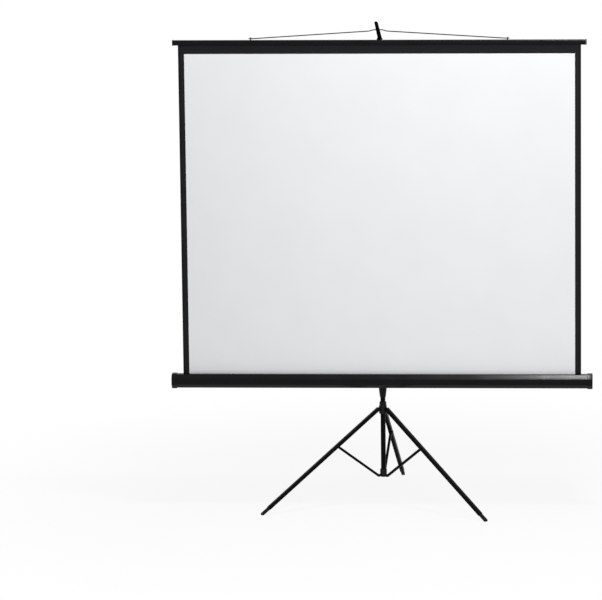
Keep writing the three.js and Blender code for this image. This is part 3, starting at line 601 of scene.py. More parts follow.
@dataclass
class Stand:
    """Post, sliding hub, three folded channel legs with rubber tips, and their stays.

    Attributes:
        foot_radius: distance of the feet from the post's axis.
        pin_radius: distance of the hub's and the base's pins from the axis.
        pin_height: height of the hub's pins.
        stay_length: distance between the holes of a stay.
        azimuths: directions of the legs.
        half_width: half the width of a leg.
        back: distance from a leg's line to its closed back.
        lip: distance from a leg's line to its open side.
        wall: thickness of a leg's steel.
        overhang: radius of a leg's round head about the hub's pin.
        end_gap: distance along a leg's line from the end of its steel to the floor.
        plug: length of a tip inside its leg.
        tip: a tip's front, back and half width, from the leg's line.
        tip_rise: height of the middle of its round end above the floor.
        bore: radius of the holes that the post passes through.
        knob_radius: radius of the hub's clamp knob.
        knob_depth: depth of its grip.
        stay_half: half the width of a stay across its flanges.
        stay_eye: radius of a stay's ends about their rivets, and half its depth.
        stay_wall: thickness of a stay's steel.
        web_gap: distance from a stay's rivets to its web, where the lug comes in.
        rivet_head: height of the head of a rivet at a stay's foot.
        lug_root: height above the hub's pins of the root of their lugs.
    """

    foot_radius: float = 502.0
    pin_radius: float = 21.0
    pin_height: float = 373.0
    stay_length: float = 212.5
    azimuths: tuple[float, ...] = (84.0, 204.0, 324.0)
    half_width: float = 8.0
    back: float = 7.0
    lip: float = 6.0
    wall: float = 1.4
    overhang: float = 7.0
    end_gap: float = 38.0
    plug: float = 30.0
    tip: tuple[float, float, float] = (-5.5, 5.3, 6.3)
    tip_rise: float = 3.8
    bore: float = 9.8
    knob_radius: float = 7.5
    knob_depth: float = 12.0
    stay_half: float = 4.6
    stay_eye: float = 4.8
    stay_wall: float = 1.1
    web_gap: float = 5.8
    rivet_head: float = 1.4
    lug_root: float = 15.0

    @property
    def lean(self) -> float:
        """Angle between a leg and the post."""
        return math.atan2(self.foot_radius - self.pin_radius, self.pin_height)

    @property
    def leg_length(self) -> float:
        """Length of a leg's line from the hub's pin to the floor."""
        return math.hypot(self.foot_radius - self.pin_radius, self.pin_height)

    def radial(self, azimuth: float) -> tuple[Array, Array]:
        """Directions away from the post and across that, for one leg."""
        x, y = math.cos(math.radians(azimuth)), math.sin(math.radians(azimuth))
        return np.array([x, y, 0.0]), np.array([-y, x, 0.0])

    def leg_axes(self, azimuth: float) -> tuple[Array, Array, Array, Array]:
        """Gives a leg's own axes.

        Args:
            azimuth: the leg's direction in degrees.

        Returns:
            Its hub pin, and its directions down, out of its back and across.
        """
        out, across = self.radial(azimuth)
        down = math.sin(self.lean) * out - math.cos(self.lean) * UP
        face = math.cos(self.lean) * out + math.sin(self.lean) * UP
        return POST + self.pin_radius * out + self.pin_height * UP, down, face, across

    def channel(self, half: float, back: float, lip: float, wall: float) -> Array:
        """U outline of folded sheet steel with rounded bends, in points (a, b): a out of its back, b across.

        Args:
            half: half its width.
            back: a of its closed back.
            lip: -a of its open side.
            wall: thickness of the steel.

        Returns:
            Points x 2, about a millimetre apart.
        """
        inner, web = half - wall, back - wall
        outside = [(-lip, -half), (back, -half), (back, half), (-lip, half)]
        inside = [(-lip, inner), (web, inner), (web, -inner), (-lip, -inner)]
        edge, bend = 0.35 * wall, 0.85 * wall
        radii = (edge, bend + wall, bend + wall, edge, edge, bend, bend, edge)
        return subdivided(rounded(outside + inside, radii), 1.0)

    def leg(self, azimuth: float) -> Shell:
        """A channel with rounded bends: its U outline carried straight down the leg's line.

        Its head is round about the hub's pin: there a point that lies a out of the leg's line is drawn up
        to sqrt(r^2 - a^2).

        Args:
            azimuth: the leg's direction in degrees.

        Returns:
            The closed surface.
        """
        pin, down, face, across = self.leg_axes(azimuth)
        outline = self.channel(self.half_width, self.back, self.lip, self.wall)
        way = np.array([0.0, self.leg_length - self.end_gap])[:, None]
        points = sweep(outline, pin + way * down, face, across)
        rise = np.sqrt(np.maximum(self.overhang**2 - outline[:, :1] ** 2, 0))
        points[0] -= rise * down * MM
        return grid(points, flat=outline)

    def rubber_tip(self, azimuth: float) -> Shell:
        """A tip that fills the end of a leg: a rounded rectangle carried down the leg's line.

        Over the last r of its length it draws in to sqrt(r^2 - t^2) on its narrow side and by a quarter of
        that across.

        Args:
            azimuth: the leg's direction in degrees.

        Returns:
            The closed surface, which runs on a little below the floor.
        """
        pin, down, face, across = self.leg_axes(azimuth)
        front, back, half = self.tip
        middle = (front + back) / 2
        end = (back - front) / 2
        round_start = self.leg_length - self.tip_rise / math.cos(self.lean)
        turn = np.linspace(0, 0.98, 14) * np.pi / 2
        first = self.leg_length - self.end_gap - self.plug
        way = np.concatenate([[first, first + 0.8], round_start + end * np.sin(turn)])
        deep = np.concatenate([[end - 0.8, end], end * np.cos(turn)])
        wide = np.concatenate([[half - 0.8, half], half - 0.25 * end * (1 - np.cos(turn))])
        boxes = [(rectangle(middle - d, middle + d, -w, w), 0.45 * d) for d, w in zip(deep, wide)]
        outlines = np.stack([rounded(box, min(1.6, corner)) for box, corner in boxes])
        return grid(sweep(outlines, pin + way[:, None] * down, face, across))

    def stay_foot(self, azimuth: float) -> Array:
        """Middle of the rivet at the foot of a stay."""
        out, _ = self.radial(azimuth)
        drop = 2 * self.stay_length * math.cos(self.lean)
        return POST + self.pin_radius * out + (self.pin_height - drop) * UP

    def stay(self, azimuth: float) -> Shell:
        """A narrow channel, open towards the post, between a leg's rivet and the base.

        Its flanges end in an arc about each rivet, sqrt(r^2 - a^2), and its web stops short of both.

        Args:
            azimuth: the leg's direction in degrees.

        Returns:
            The closed surface.
        """
        pin, down, _, across = self.leg_axes(azimuth)
        out, _ = self.radial(azimuth)
        ends = np.stack([pin + self.stay_length * down, self.stay_foot(azimuth)])
        along = (ends[1] - ends[0]) / self.stay_length
        away = math.cos(self.lean) * out - math.sin(self.lean) * UP
        outline = self.channel(self.stay_half, self.stay_eye, self.stay_eye, self.stay_wall)
        points = sweep(outline, ends, away, across)
        a = outline[:, :1]
        arc = np.sqrt(np.maximum(self.stay_eye**2 - a**2, 0))
        reach = np.where(a > self.stay_eye - 2 * self.stay_wall, -self.web_gap, arc) * along * MM
        return grid(points + np.stack([-reach, reach]), flat=outline)

    def rivet(self, azimuth: float) -> Shell:
        """A round-headed rivet through the foot of a stay, turned about its axis."""
        half, eye, top = self.stay_half, self.stay_eye, self.stay_half + self.rivet_head
        dome = [(0.9 * eye, half + 0.4), (0.55 * eye, top - 0.2), (0, top)]
        head = [(0.6 * eye, half), (0.95 * eye, half), *dome]
        profile = [(radius, -height) for radius, height in head[::-1]] + head
        return grid(lathe(profile, self.stay_foot(azimuth), self.radial(azimuth)[1], 24), ends=False)

    def lug(self, azimuth: float, height: float, low: float, high: float, root: float) -> Shell:
        """A lug from the collar's wall to a pin, its outline carried across from low to high."""
        out, across = self.radial(azimuth)
        path = POST + height * UP + 11.0 * out + np.array([low, high])[:, None] * across
        return grid(sweep(eyebar(self.pin_radius - 11.0, 5.0, root), path, out, UP))

    def hub(self) -> Shell:
        """A shouldered collar, turned about the post, with a lug inside each leg."""
        low = span_of("leg_hub")[0][2]
        top = span_of("leg_hub")[1][2]
        profile = [
            (self.bore, low),
            (13.6, low),
            (15.0, low + 1.3),
            (15.0, low + 29.2),
            (14.6, low + 30.6),
            (13.5, low + 33.4),
            (13.2, low + 35.0),
            (13.2, top - 1.3),
            (12.2, top),
            (self.bore, top),
            (self.bore, low),
        ]
        body = grid(lathe(profile, POST, UP, 64), ends=False)
        lugs = [self.lug(azimuth, self.pin_height, -2.5, 2.5, self.lug_root) for azimuth in self.azimuths]
        return joined(body, *lugs)

    def base(self) -> Shell:
        """A cup on the foot of the post, turned about it, with a lug for each stay."""
        low, high = (corner[2] for corner in span_of("base_boss"))
        profile = [
            (0, low),
            (10.8, low),
            (12.4, low + 0.6),
            (13.0, low + 2.0),
            (13.0, high - 1.2),
            (12.2, high),
            (self.bore, high),
            (self.bore, low + 6.0),
            (0, low + 6.0),
        ]
        cup = grid(lathe(profile, POST, UP, 64), ends=False)
        height = self.stay_foot(0)[2]
        return joined(cup, *(self.lug(azimuth, height, -3.15, -0.15, 5.0) for azimuth in self.azimuths))

    def build(self, wardrobe: Wardrobe) -> None:
        """Builds and dresses the stand's pieces."""
        low, high = span_of("outer_tube")
        wardrobe.piece("post_tube", "outer_tube", tube(POST, UP, 8.3, 9.5, low[2], high[2]), STAND_ENAMEL)
        wardrobe.piece("hub_collar", "leg_hub", self.hub(), MOULDED_BLACK, Ease.FINE)
        wardrobe.piece("base_cup", "base_boss", self.base(), MOULDED_BLACK, Ease.FINE)
        screw_height = (span_of("hub_knob")[0][2] + span_of("hub_knob")[1][2]) / 2
        grip = knob(POST + screw_height * UP, NORTH, self.bore, 16.5, self.knob_radius, self.knob_depth)
        wardrobe.piece("hub_clamp_knob", "hub_knob", grip, MOULDED_BLACK)
        for number, azimuth in enumerate(self.azimuths, 1):
            wardrobe.piece(f"channel_leg_{number}", f"leg_{number}", self.leg(azimuth), STAND_ENAMEL)
            tip = self.rubber_tip(azimuth)
            wardrobe.piece(f"rubber_tip_{number}", f"foot_{number}", tip, TIP_RUBBER, trim=Trim.FLOOR)
            wardrobe.piece(f"stay_{number}", f"strut_{number}", self.stay(azimuth), STAND_ENAMEL)
            wardrobe.piece(f"foot_rivet_{number}", f"stay_rivet_{number}", self.rivet(azimuth), STAND_ENAMEL)
            for rivet in ("leg_pin", "strut_pin"):
                wardrobe.dress(f"{rivet}_{number}", STAND_ENAMEL)


@dataclass
class Mast:
    """Extension tube with its lock collar, and the hook arm on top.

    Attributes:
        inner: radius of the extension tube.
        collar: radius of the lock collar.
        ease: easing of the collar's edges.
        boss_reach: distance of the button boss's face from the axis.
        boss_half: half the width and height of the boss.
        button_hole: radius of the button's hole.
        pocket: distance of the hole's floor from the axis.
        button_radius: radius of the button.
        button_travel: room behind the button.
        seat: height of the collar's step above its foot.
        arm_half: half the width of the arm at its pin.
        tip_half: half its width at the tip.
        thickness: thickness of the arm.
        rise: height of the arm above its pin.
        knee: height from which it leans to the side.
        lean_forward: slope towards the sheet, in degrees.
        lean_side: slope to the side, in degrees.
        ledge: height above which only the front half of the arm goes on.
        knuckle: radius of the arm about its pin.
    """

    inner: float = 7.5
    collar: float = 12.0
    ease: float = 1.5
    boss_reach: float = 17.0
    boss_half: tuple[float, float] = (7.0, 10.0)
    button_hole: float = 4.8
    pocket: float = 11.9
    button_radius: float = 4.5
    button_travel: float = 3.2
    seat: float = 30.3
    arm_half: float = 8.0
    tip_half: float = 6.75
    thickness: float = 9.0
    rise: float = 77.5
    knee: float = 11.614
    lean_forward: float = 30.0
    lean_side: float = 10.0
    ledge: float = 40.0
    knuckle: float = 5.4

    def lock_collar(self) -> Shell:
        """A turned collar with grip grooves, and a boss with a round hole for the button.

        Returns:
            The turned body, and the boss: a superellipse carried out to its face and back in as a circle.
        """
        low, high = (corner[2] for corner in span_of("lock_collar"))
        groove = ((0, 0), (0.5, 0.7), (0.5, 1.6), (0, 2.3))
        grooves = [(self.collar - d, low + 5 + 4 * k + h) for k in range(4) for d, h in groove]
        profile = [
            (9.8, low),
            (self.collar - self.ease, low),
            (self.collar - 0.4, low + 0.5),
            (self.collar, low + self.ease),
            *grooves,
            (self.collar, high - self.ease),
            (self.collar - 0.4, high - 0.5),
            (self.collar - self.ease, high),
            (7.8, high),
            (7.8, low + self.seat),
            (9.8, low + self.seat),
            (9.8, low),
        ]
        body = grid(lathe(profile, POST, UP, 64), ends=False)
        turn = np.linspace(0, 2 * np.pi, 48, endpoint=False)
        wave = np.stack([np.cos(turn), np.sin(turn)], axis=-1)
        square = np.sign(wave) * np.abs(wave) ** 0.45
        half = np.array(self.boss_half)
        sides = [square * (half - inset) for inset in (0.0, 0.0, 0.3, 0.9)]
        rows = sides + [wave * (self.button_hole + 0.1), wave * self.button_hole]
        face = self.boss_reach
        reach = [8.4, face - 1.0, face - 0.3, face, face, self.pocket]
        height = (span_of("lock_button")[0][2] + span_of("lock_button")[1][2]) / 2
        path = POST + height * UP + np.array(reach)[:, None] * NORTH
        return joined(body, grid(sweep(np.stack(rows), path, EAST, UP)))

    def button(self) -> Shell:
        """A push button turned about its hole, dished for the thumb, with room behind it to be pressed."""
        low, high = span_of("lock_button")
        radius, end = self.button_radius, high[1] - POST[1]
        start = self.collar + self.button_travel
        shank = [(0, start), (radius - 0.3, start), (radius, start + 0.3), (radius, end - 1.0)]
        rim = [(radius - 0.3, end - 0.3), (radius - 1.0, end), (radius - 1.6, end)]
        dish = [(1.4, end - 0.4), (0, end - 0.5)]
        return grid(lathe(shank + rim + dish, POST + (low[2] + high[2]) / 2 * UP, NORTH), ends=False)

    def arm_pin(self) -> Array:
        """Middle of the arm's pin."""
        return POST + sum(span_of("arm_pin"))[2] / 2 * UP

    def aside(self, rise: Array | float) -> Array:
        """Distance in x of the arm's line from its pin, at some height above the pin."""
        return -np.maximum(rise - self.knee, 0) * math.tan(math.radians(self.lean_side))

    def arm(self) -> Shell:
        """A leaning blade with a round end, which above its ledge is half as thick.

        Returns:
            The blade, a rounded rectangle carried up its leaning line, and the knuckle about its pin.
        """
        pin = self.arm_pin()
        shoulder = self.rise - self.tip_half
        rise = np.concatenate(
            [
                [0.0, self.knee],
                [self.ledge, self.ledge + 0.01, shoulder],
                shoulder + self.tip_half * np.sin(np.linspace(0.15, np.pi / 2 - 0.12, 9)),
            ]
        )
        taper = np.interp(rise, [self.knee, shoulder], [self.arm_half, self.tip_half])
        tip = np.sqrt(np.maximum(self.tip_half**2 - (rise - shoulder) ** 2, 0.2))
        width = np.where(rise > shoulder, tip, taper)
        behind = np.where(rise > self.ledge, 0.0, self.thickness / 2)
        outlines = np.stack(
            [
                rounded(rectangle(-w, w, -self.thickness / 2, b), min(1.2, 0.45 * w))
                for w, b in zip(width, behind)
            ]
        )
        forward = -rise * math.tan(math.radians(self.lean_forward))
        path = pin + np.stack([self.aside(rise), forward, rise], axis=-1)
        blade = grid(sweep(outlines, path, EAST, NORTH))
        half, barrel = self.arm_half, self.knuckle
        left = [(0, -half), (barrel - 0.5, -half), (barrel, 0.5 - half)]
        right = [(barrel, half - 0.5), (barrel - 0.5, half), (0, half)]
        return joined(blade, grid(lathe(left + right, pin, EAST), ends=False))

    def build(self, wardrobe: Wardrobe) -> None:
        """Builds and dresses the mast's pieces."""
        low, high = span_of("extension_tube")
        rod = tube(POST, UP, self.inner - 1, self.inner, low[2], high[2])
        wardrobe.piece("extension", "extension_tube", rod, STAND_ENAMEL)
        wardrobe.piece("mast_lock", "lock_collar", self.lock_collar(), MOULDED_BLUE)
        wardrobe.piece("hanger_arm", "hook_arm", self.arm(), STAND_ENAMEL)
        wardrobe.piece("push_button", "lock_button", self.button(), MOULDED_BLUE)
        wardrobe.dress("arm_fork", MOULDED_BLACK)
        wardrobe.dress("arm_pin", ZINC_PLATE)


@dataclass
class Carrier:
    """Sleeve that holds the case on the post, with its handle, swivel boss and clamp screw.

    Attributes:
        bore: radius of the hole for the post.
        radius: outside radius of the sleeve.
        skirt: radius of its foot.
        skirt_height: height of the cone above its foot.
        boss_radius: radius of the swivel boss.
        screw_boss: radius and reach of the clamp screw's boss.
        screw_height: height of the clamp screw.
        knob_radius: radius of the clamp knob.
        knob_depth: depth of its grip.
        handle_reach: distance of the handle's back from the axis.
        handle_width: width of the handle.
        rail: height of its rails.
        bar: depth of its bar.
    """

    bore: float = 9.8
    radius: float = 15.0
    skirt: float = 11.4
    skirt_height: float = 30.0
    boss_radius: float = 15.0
    screw_boss: tuple[float, float] = (7.0, 22.0)
    screw_height: float = 535.0
    knob_radius: float = 13.0
    knob_depth: float = 12.0
    handle_reach: float = 57.0
    handle_width: float = 17.0
    rail: float = 12.0
    bar: float = 13.0

    def boss(self, centre: Array, out: Array, side: Array, radius: float, reach: float) -> Shell:
        """A round boss that grows out of the sleeve.

        Its back follows a cylinder about the post inside the sleeve's wall, w = sqrt(h^2 - u^2), and its
        side runs straight out to an eased face.

        Args:
            centre: point on the post's axis.
            out: direction of the boss.
            side: level direction across it.
            radius: radius of the boss.
            reach: distance of its face from the axis.

        Returns:
            The closed surface.
        """
        hug = self.radius - 1.2
        turn = np.linspace(0, 2 * np.pi, 48, endpoint=False)
        scale = np.array([0, 0.4, 0.8, 1, 1, 1 - 0.3 / radius, 1 - 1.2 / radius, 0])[:, None] * radius
        u = scale * np.cos(turn)
        v = scale * np.sin(turn)
        flat = np.array([0, 0, 0, 0, reach - 1.2, reach - 0.35, reach, reach])[:, None]
        w = np.where(flat > 0, flat, np.sqrt(np.maximum(hug**2 - u**2, 0)))
        points = centre + u[..., None] * side + v[..., None] * UP + w[..., None] * out
        return grid(points * MM, ends=False)

    def sleeve(self) -> Shell:
        """A turned sleeve with a coned skirt, and the bosses for the swivel and the clamp screw."""
        corner = span_of("carrier_sleeve")[0]
        low, high = (corner[2] for corner in span_of("carrier_sleeve"))
        profile = [
            (self.bore, low),
            (self.skirt - 0.4, low),
            (self.skirt, low + 0.8),
            (self.radius - 0.25, low + self.skirt_height - 2),
            (self.radius, low + self.skirt_height + 1),
            (self.radius, high - 2.0),
            (self.radius - 0.6, high - 0.6),
            (self.radius - 2.0, high),
            (self.bore, high),
            (self.bore, low),
        ]
        body = grid(lathe(profile, POST, UP, 64), ends=False)
        swivel = POST + sum(span_of("pivot_bolt"))[2] / 2 * UP
        front = self.boss(swivel, -NORTH, EAST, self.boss_radius, POST[1] - corner[1])
        screw = self.boss(POST + self.screw_height * UP, EAST, NORTH, *self.screw_boss)
        return joined(body, front, screw)

    def handle(self) -> Shell:
        """A loop handle: a rounded rectangle carried out, down and back along a line with round corners."""
        low, high = (corner[2] for corner in span_of("carry_handle"))
        line = self.handle_reach - self.bar / 2
        ring = rectangle(-60.0, line, low + self.rail / 2, high - self.rail / 2)
        loop = rounded(ring, (1, 16, 16, 1), 12)
        turns = loop[12:36]
        start = 12.6
        path = np.concatenate([[(start, turns[0][1])], turns, [(start, turns[-1][1])]])
        ahead = np.gradient(path, axis=0)
        ahead /= np.linalg.norm(ahead, axis=1, keepdims=True)
        second = np.stack([np.zeros(len(path)), -ahead[:, 1], ahead[:, 0]], axis=-1)
        half = self.handle_width / 2
        upright = np.abs(ahead[:, 1])
        depth = (self.rail + (self.bar - self.rail) * upright) / 2
        outlines = np.stack([rounded(rectangle(-half, half, -d, d), 4.2) for d in depth])
        line_points = POST + path[:, :1] * NORTH + path[:, 1:] * UP
        return grid(sweep(outlines, line_points, EAST, second))

    def build(self, wardrobe: Wardrobe) -> None:
        """Builds and dresses the carrier's pieces."""
        wardrobe.piece("post_sleeve", "carrier_sleeve", self.sleeve(), MOULDED_BLACK)
        wardrobe.piece("loop_handle", "carry_handle", self.handle(), MOULDED_BLACK)
        start = self.screw_boss[1] + 3.3
        grip = knob(POST + self.screw_height * UP, EAST, self.bore, start, self.knob_radius, self.knob_depth)
        wardrobe.piece("sleeve_clamp_knob", "carrier_knob", grip, MOULDED_BLACK)
        wardrobe.dress("pivot_bolt", ZINC_PLATE)


@dataclass
class RollerCase:
    """Eight-sided steel case with its moulded ends, and the spring roller inside.

    Attributes:
        flats: distance between the case's flats.
        wall: thickness of its steel.
        corner: outside radius of its corners.
        slot: width of the slot for the cloth.
        cap_flats: distance between a cap's flats.
        cap_length: length of a cap.
        cap_pocket: length of the case inside a cap.
        dome: easing of a cap's end.
        roll: inside and outside radius of the cloth left on the roller.
        turns: turns of cloth on the roller.
    """

    flats: float = 53.0
    wall: float = 1.2
    corner: float = 3.0
    slot: float = 6.0
    cap_flats: float = 58.0
    cap_length: float = 20.0
    cap_pocket: float = 13.8
    dome: float = 4.0
    roll: tuple[float, float] = (11.3, 13.3)
    turns: float = 4.0

    def axis(self) -> Array:
        """Middle of the case."""
        return sum(span_of("case_shell")) / 2

    def shell(self) -> Shell:
        """The rolled housing: a C-shaped outline, open at the slot, carried along X."""
        low, high = span_of("case_shell")
        outer = octagon(self.flats)
        inner = octagon(self.flats - 2 * self.wall)
        top = self.flats / 2
        middle = sum(span_of("screen_fabric"))[1] / 2 - self.axis()[1]
        behind = middle + self.slot / 2
        ahead = middle - self.slot / 2
        way_out = [(behind, top), outer[1], outer[0], *outer[:1:-1], (ahead, top)]
        way_in = [(ahead, top - self.wall), *inner[2:], *inner[:2], (behind, top - self.wall)]
        bend = self.corner - self.wall
        radii = [0.45] + [self.corner] * 8 + [0.45, 0.45] + [bend] * 8 + [0.45]
        path = self.axis() + np.array([low[0], high[0]])[:, None] * EAST
        return grid(sweep(rounded(way_out + way_in, radii), path, NORTH, UP))

    def cap(self, side: float) -> Shell:
        """A domed cap: octagons that shrink by d (1 - cos t) while they go out by d sin t.

        Args:
            side: 1 for the right end and -1 for the left.

        Returns:
            The closed cup.
        """
        end = span_of("end_cap_right")[1][0]
        mouth = end - self.cap_length
        turn = np.linspace(0, np.pi / 2, 8)
        flats = np.concatenate(
            [
                [self.flats + 0.6, self.flats + 0.6, self.cap_flats - 1.0, self.cap_flats],
                self.cap_flats - 2 * self.dome * (1 - np.cos(turn)),
                [self.cap_flats - 22.0, self.cap_flats - 24.0],
            ]
        )
        way = np.concatenate(
            [
                [mouth + self.cap_pocket, mouth, mouth, mouth + 0.6],
                end - self.dome + self.dome * np.sin(turn),
                [end, end - 0.7],
            ]
        )
        outlines = np.stack([rounded(octagon(f), self.corner + 1.5) for f in flats])
        path = self.axis() * (NORTH + UP) + side * way[:, None] * EAST
        return grid(sweep(outlines, path, NORTH, UP))

    def wound_cloth(self) -> Shell:
        """The cloth left on the roller: a strip wound as r = r0 + (r1 - r0) t / (2 pi n), carried along X."""
        low, high = span_of("fabric_roll")
        turn = np.linspace(0, 2 * np.pi * self.turns, 161)
        radius = np.linspace(self.roll[0] + 0.05, self.roll[1] - 0.35, 161)
        thick = 0.3
        around = np.stack([np.cos(turn), np.sin(turn)], axis=-1)
        outline = np.concatenate([around * (radius + thick)[:, None], (around * radius[:, None])[::-1]])
        middle = (low + high) / 2
        path = middle + np.array([low[0], high[0]])[:, None] * EAST
        return grid(sweep(outline, path, NORTH, UP))

    def build(self, wardrobe: Wardrobe, cloth: Finish) -> None:
        """Builds and dresses the case's pieces."""
        wardrobe.piece("eight_sided_case", "case_shell", self.shell(), STOVE_ENAMEL)
        wardrobe.piece("case_end_left", "end_cap_left", self.cap(-1.0), POLISHED_BLACK)
        wardrobe.piece("case_end_right", "end_cap_right", self.cap(1.0), POLISHED_BLACK)
        wound = wardrobe.piece("wound_cloth", "fabric_roll", self.wound_cloth(), cloth)
        wardrobe.dress("case_saddle", STOVE_ENAMEL)
        for end in ("left", "right"):
            wardrobe.dress(f"roller_plug_{end}", MOULDED_BLACK)
        for node in ("roller_tube", "roller_spring", "spring_spindle"):
            wardrobe.dress(node, ZINC_PLATE)


@dataclass
class Screen:
    """White sheet, its top slat and the wire that the slat hangs by.

    Attributes:
        slat_half: half the depth of the slat.
        slat_corner: radius of its corners.
        slat_wall: thickness of its steel.
        groove: half the width of the gap that holds the sheet.
        cap_rim: distance that a slat cap stands out all round; not used.
        billow: greatest distance of the sheet from flat.
        thickness: thickness of the sheet.
        wire: radius of the wire.
        eye_spread: distance of the eyes from the middle.
        tail: length of wire on either side of an eye.
        hump: half the length of wire that lies on the arm.
        shoulder: distance from the arm at which the wire's straight run starts.
        drop: height of the wire on the arm above the start of that run.
        columns: points across the sheet.
        rows: points up the sheet.
    """

    slat_half: float = 7.0
    slat_corner: float = 4.0
    slat_wall: float = 1.4
    groove: float = 0.5
    cap_rim: float = 1.0
    billow: float = 1.6
    thickness: float = 0.4
    wire: float = 2.0
    eye_spread: float = 485.0
    tail: float = 8.0
    hump: float = 16.0
    shoulder: float = 34.0
    drop: float = 5.0
    columns: int = 141
    rows: int = 121

    def cloth(self) -> ScreenCloth:
        """The sheet's finish, cut to the sheet's size."""
        low, high = span_of("screen_fabric")
        return ScreenCloth(width_mm=float(high[0] - low[0]), height_mm=float(high[2] - low[2]))

    def sheet(self, wardrobe: Wardrobe) -> bpy.types.Object:
        """The taut sheet on a grid of (u, v), held straight where it leaves the case and enters the slat.

        Its side edges curl back by b (2u - 1)^6 sin(pi v), and a long ripple of half that height crosses it.

        Args:
            wardrobe: gives the finish.

        Returns:
            The dressed sheet.
        """
        low, high = span_of("screen_fabric")
        u, v = np.meshgrid(np.linspace(0, 1, self.columns), np.linspace(0, 1, self.rows))
        level = np.clip((v * (high[2] - low[2]) - 34) / (high[2] - low[2] - 44), 0, 1)
        hold = np.sin(np.pi * level)
        curl = (2 * u - 1) ** 6 * hold
        ripple = np.sin(5 * np.pi * u + 1.2 * v) * hold * (1 - level)
        y = (low[1] + high[1]) / 2 + self.billow * (0.7 * curl + 0.3 * ripple)
        points = np.stack([low[0] + u * (high[0] - low[0]), y, low[2] + v * (high[2] - low[2])], axis=-1) * MM
        shell = grid(points[:, ::-1], wrap=False, ends=False)
        mesh = bpy.data.meshes.new("white_sheet")
        mesh.from_pydata(shell.points.tolist(), [], shell.faces)
        chart = np.stack([u[:, ::-1], v], axis=-1).reshape(-1, 2)
        corners = np.zeros(len(mesh.loops), dtype=np.int32)
        mesh.loops.foreach_get("vertex_index", corners)
        mesh.uv_layers.new(name="cloth").data.foreach_set("uv", chart[corners].ravel())
        mesh.shade_smooth()
        mesh.materials.append(wardrobe.material(self.cloth()))
        sheet = bpy.data.objects.new("white_sheet", mesh)
        bpy.context.scene.collection.objects.link(sheet)
        solid = sheet.modifiers.new("cloth_thickness", "SOLIDIFY")
        solid.thickness = self.thickness * MM
        solid.offset = 0.0
        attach(sheet, "slat")
        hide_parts("screen_fabric")
        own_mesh(sheet)
        LOG.info("white_sheet stands for screen_fabric: %d faces", len(mesh.polygons))
        return sheet

    def slat(self) -> Shell:
        """A rolled tube with a gap below for the sheet: a C-shaped outline carried along X."""
        low, high = span_of("top_slat")
        half = self.slat_half
        inner = half - self.slat_wall
        bottom, top = low[2] + self.slat_wall, high[2] - self.slat_wall
        corners = [
            (self.groove, low[2]),
            (half, low[2]),
            (half, high[2]),
            (-half, high[2]),
            (-half, low[2]),
            (-self.groove, low[2]),
            (-self.groove, bottom),
            (-inner, bottom),
            (-inner, top),
            (inner, top),
            (inner, bottom),
            (self.groove, bottom),
        ]
        bend = self.slat_corner - self.slat_wall
        radii = [0.3] + [self.slat_corner] * 4 + [0.3, 0.3] + [bend] * 4 + [0.3]
        path = (low + high) / 2 * NORTH + np.array([low[0], high[0]])[:, None] * EAST
        return grid(sweep(rounded(corners, radii), path, NORTH, UP))

    def slat_cap(self, side: float) -> Shell:
        """A flat moulded cap: a rounded rectangle whose outer edge is eased over a quarter circle.

        Args:
            side: 1 for the right end and -1 for the left.

        Returns:
            The closed surface.
        """
        low, high = span_of("slat_cap_right")
        turn = np.linspace(0, np.pi / 2, 6)
        shrink = np.concatenate([[0.0], 1.2 * (1 - np.cos(turn))])
        way = np.concatenate([[low[0]], high[0] - 1.2 + 1.2 * np.sin(turn)])
        half = (high[1] - low[1]) / 2
        outlines = np.stack(
            [rounded(rectangle(-half + s, half - s, low[2] + s, high[2] - s), 5.0 - s) for s in shrink]
        )
        path = (low + high) / 2 * NORTH + side * way[:, None] * EAST
        return grid(sweep(outlines, path, NORTH, UP))

    def hanger(self, mast: Mast) -> Shell:
        """A round wire, straight from eye to arm: a circle carried along it.

        Args:
            mast: has the arm that the wire lies on.

        Returns:
            The closed surface.
        """
        low, high = span_of("bail_wire")
        eye = (span_of("bail_eye_left")[0][1] + span_of("bail_eye_left")[1][1]) / 2
        lowest = low[2] + self.wire
        seat = high[2] - self.wire
        behind = high[1] - self.wire
        middle = POST[0] + mast.aside(seat - mast.arm_pin()[2])
        spread = self.eye_spread
        knots = np.array(
            [
                (-spread - self.tail, eye, lowest),
                (-spread + self.tail, eye, lowest),
                (middle - self.shoulder, behind, seat - self.drop),
                (middle - self.hump, behind, seat),
                (middle + self.hump, behind, seat),
                (middle + self.shoulder, behind, seat - self.drop),
                (spread - self.tail, eye, lowest),
                (spread + self.tail, eye, lowest),
            ]
        )
        x = np.concatenate([np.linspace(knots[0, 0], knots[-1, 0], 240), knots[:, 0]])
        x.sort()
        y, z = (np.interp(x, knots[:, 0], knots[:, k]) for k in (1, 2))
        path = np.stack([x, y, z], axis=-1)
        turn = np.linspace(0, 2 * np.pi, 16, endpoint=False)
        round_bar = self.wire * np.stack([np.cos(turn), np.sin(turn)], axis=-1)
        thin = np.ones(len(path))
        thin[[0, -1]] = 0.7
        return grid(sweep(round_bar * thin[:, None, None], path, NORTH, UP))

    def build(self, wardrobe: Wardrobe, mast: Mast) -> None:
        """Builds and dresses the screen's pieces."""
        self.sheet(wardrobe)
        wardrobe.piece("slat_tube", "top_slat", self.slat(), STOVE_ENAMEL, crease=40.0)
        wardrobe.piece("slat_end_left", "slat_cap_left", self.slat_cap(-1.0), MOULDED_BLACK)
        wardrobe.piece("slat_end_right", "slat_cap_right", self.slat_cap(1.0), MOULDED_BLACK)
        wardrobe.piece("hanger_wire", "bail_wire", self.hanger(mast), STOVE_ENAMEL)
        for side in ("left", "right"):
            wardrobe.dress(f"bail_eye_{side}", STOVE_ENAMEL)


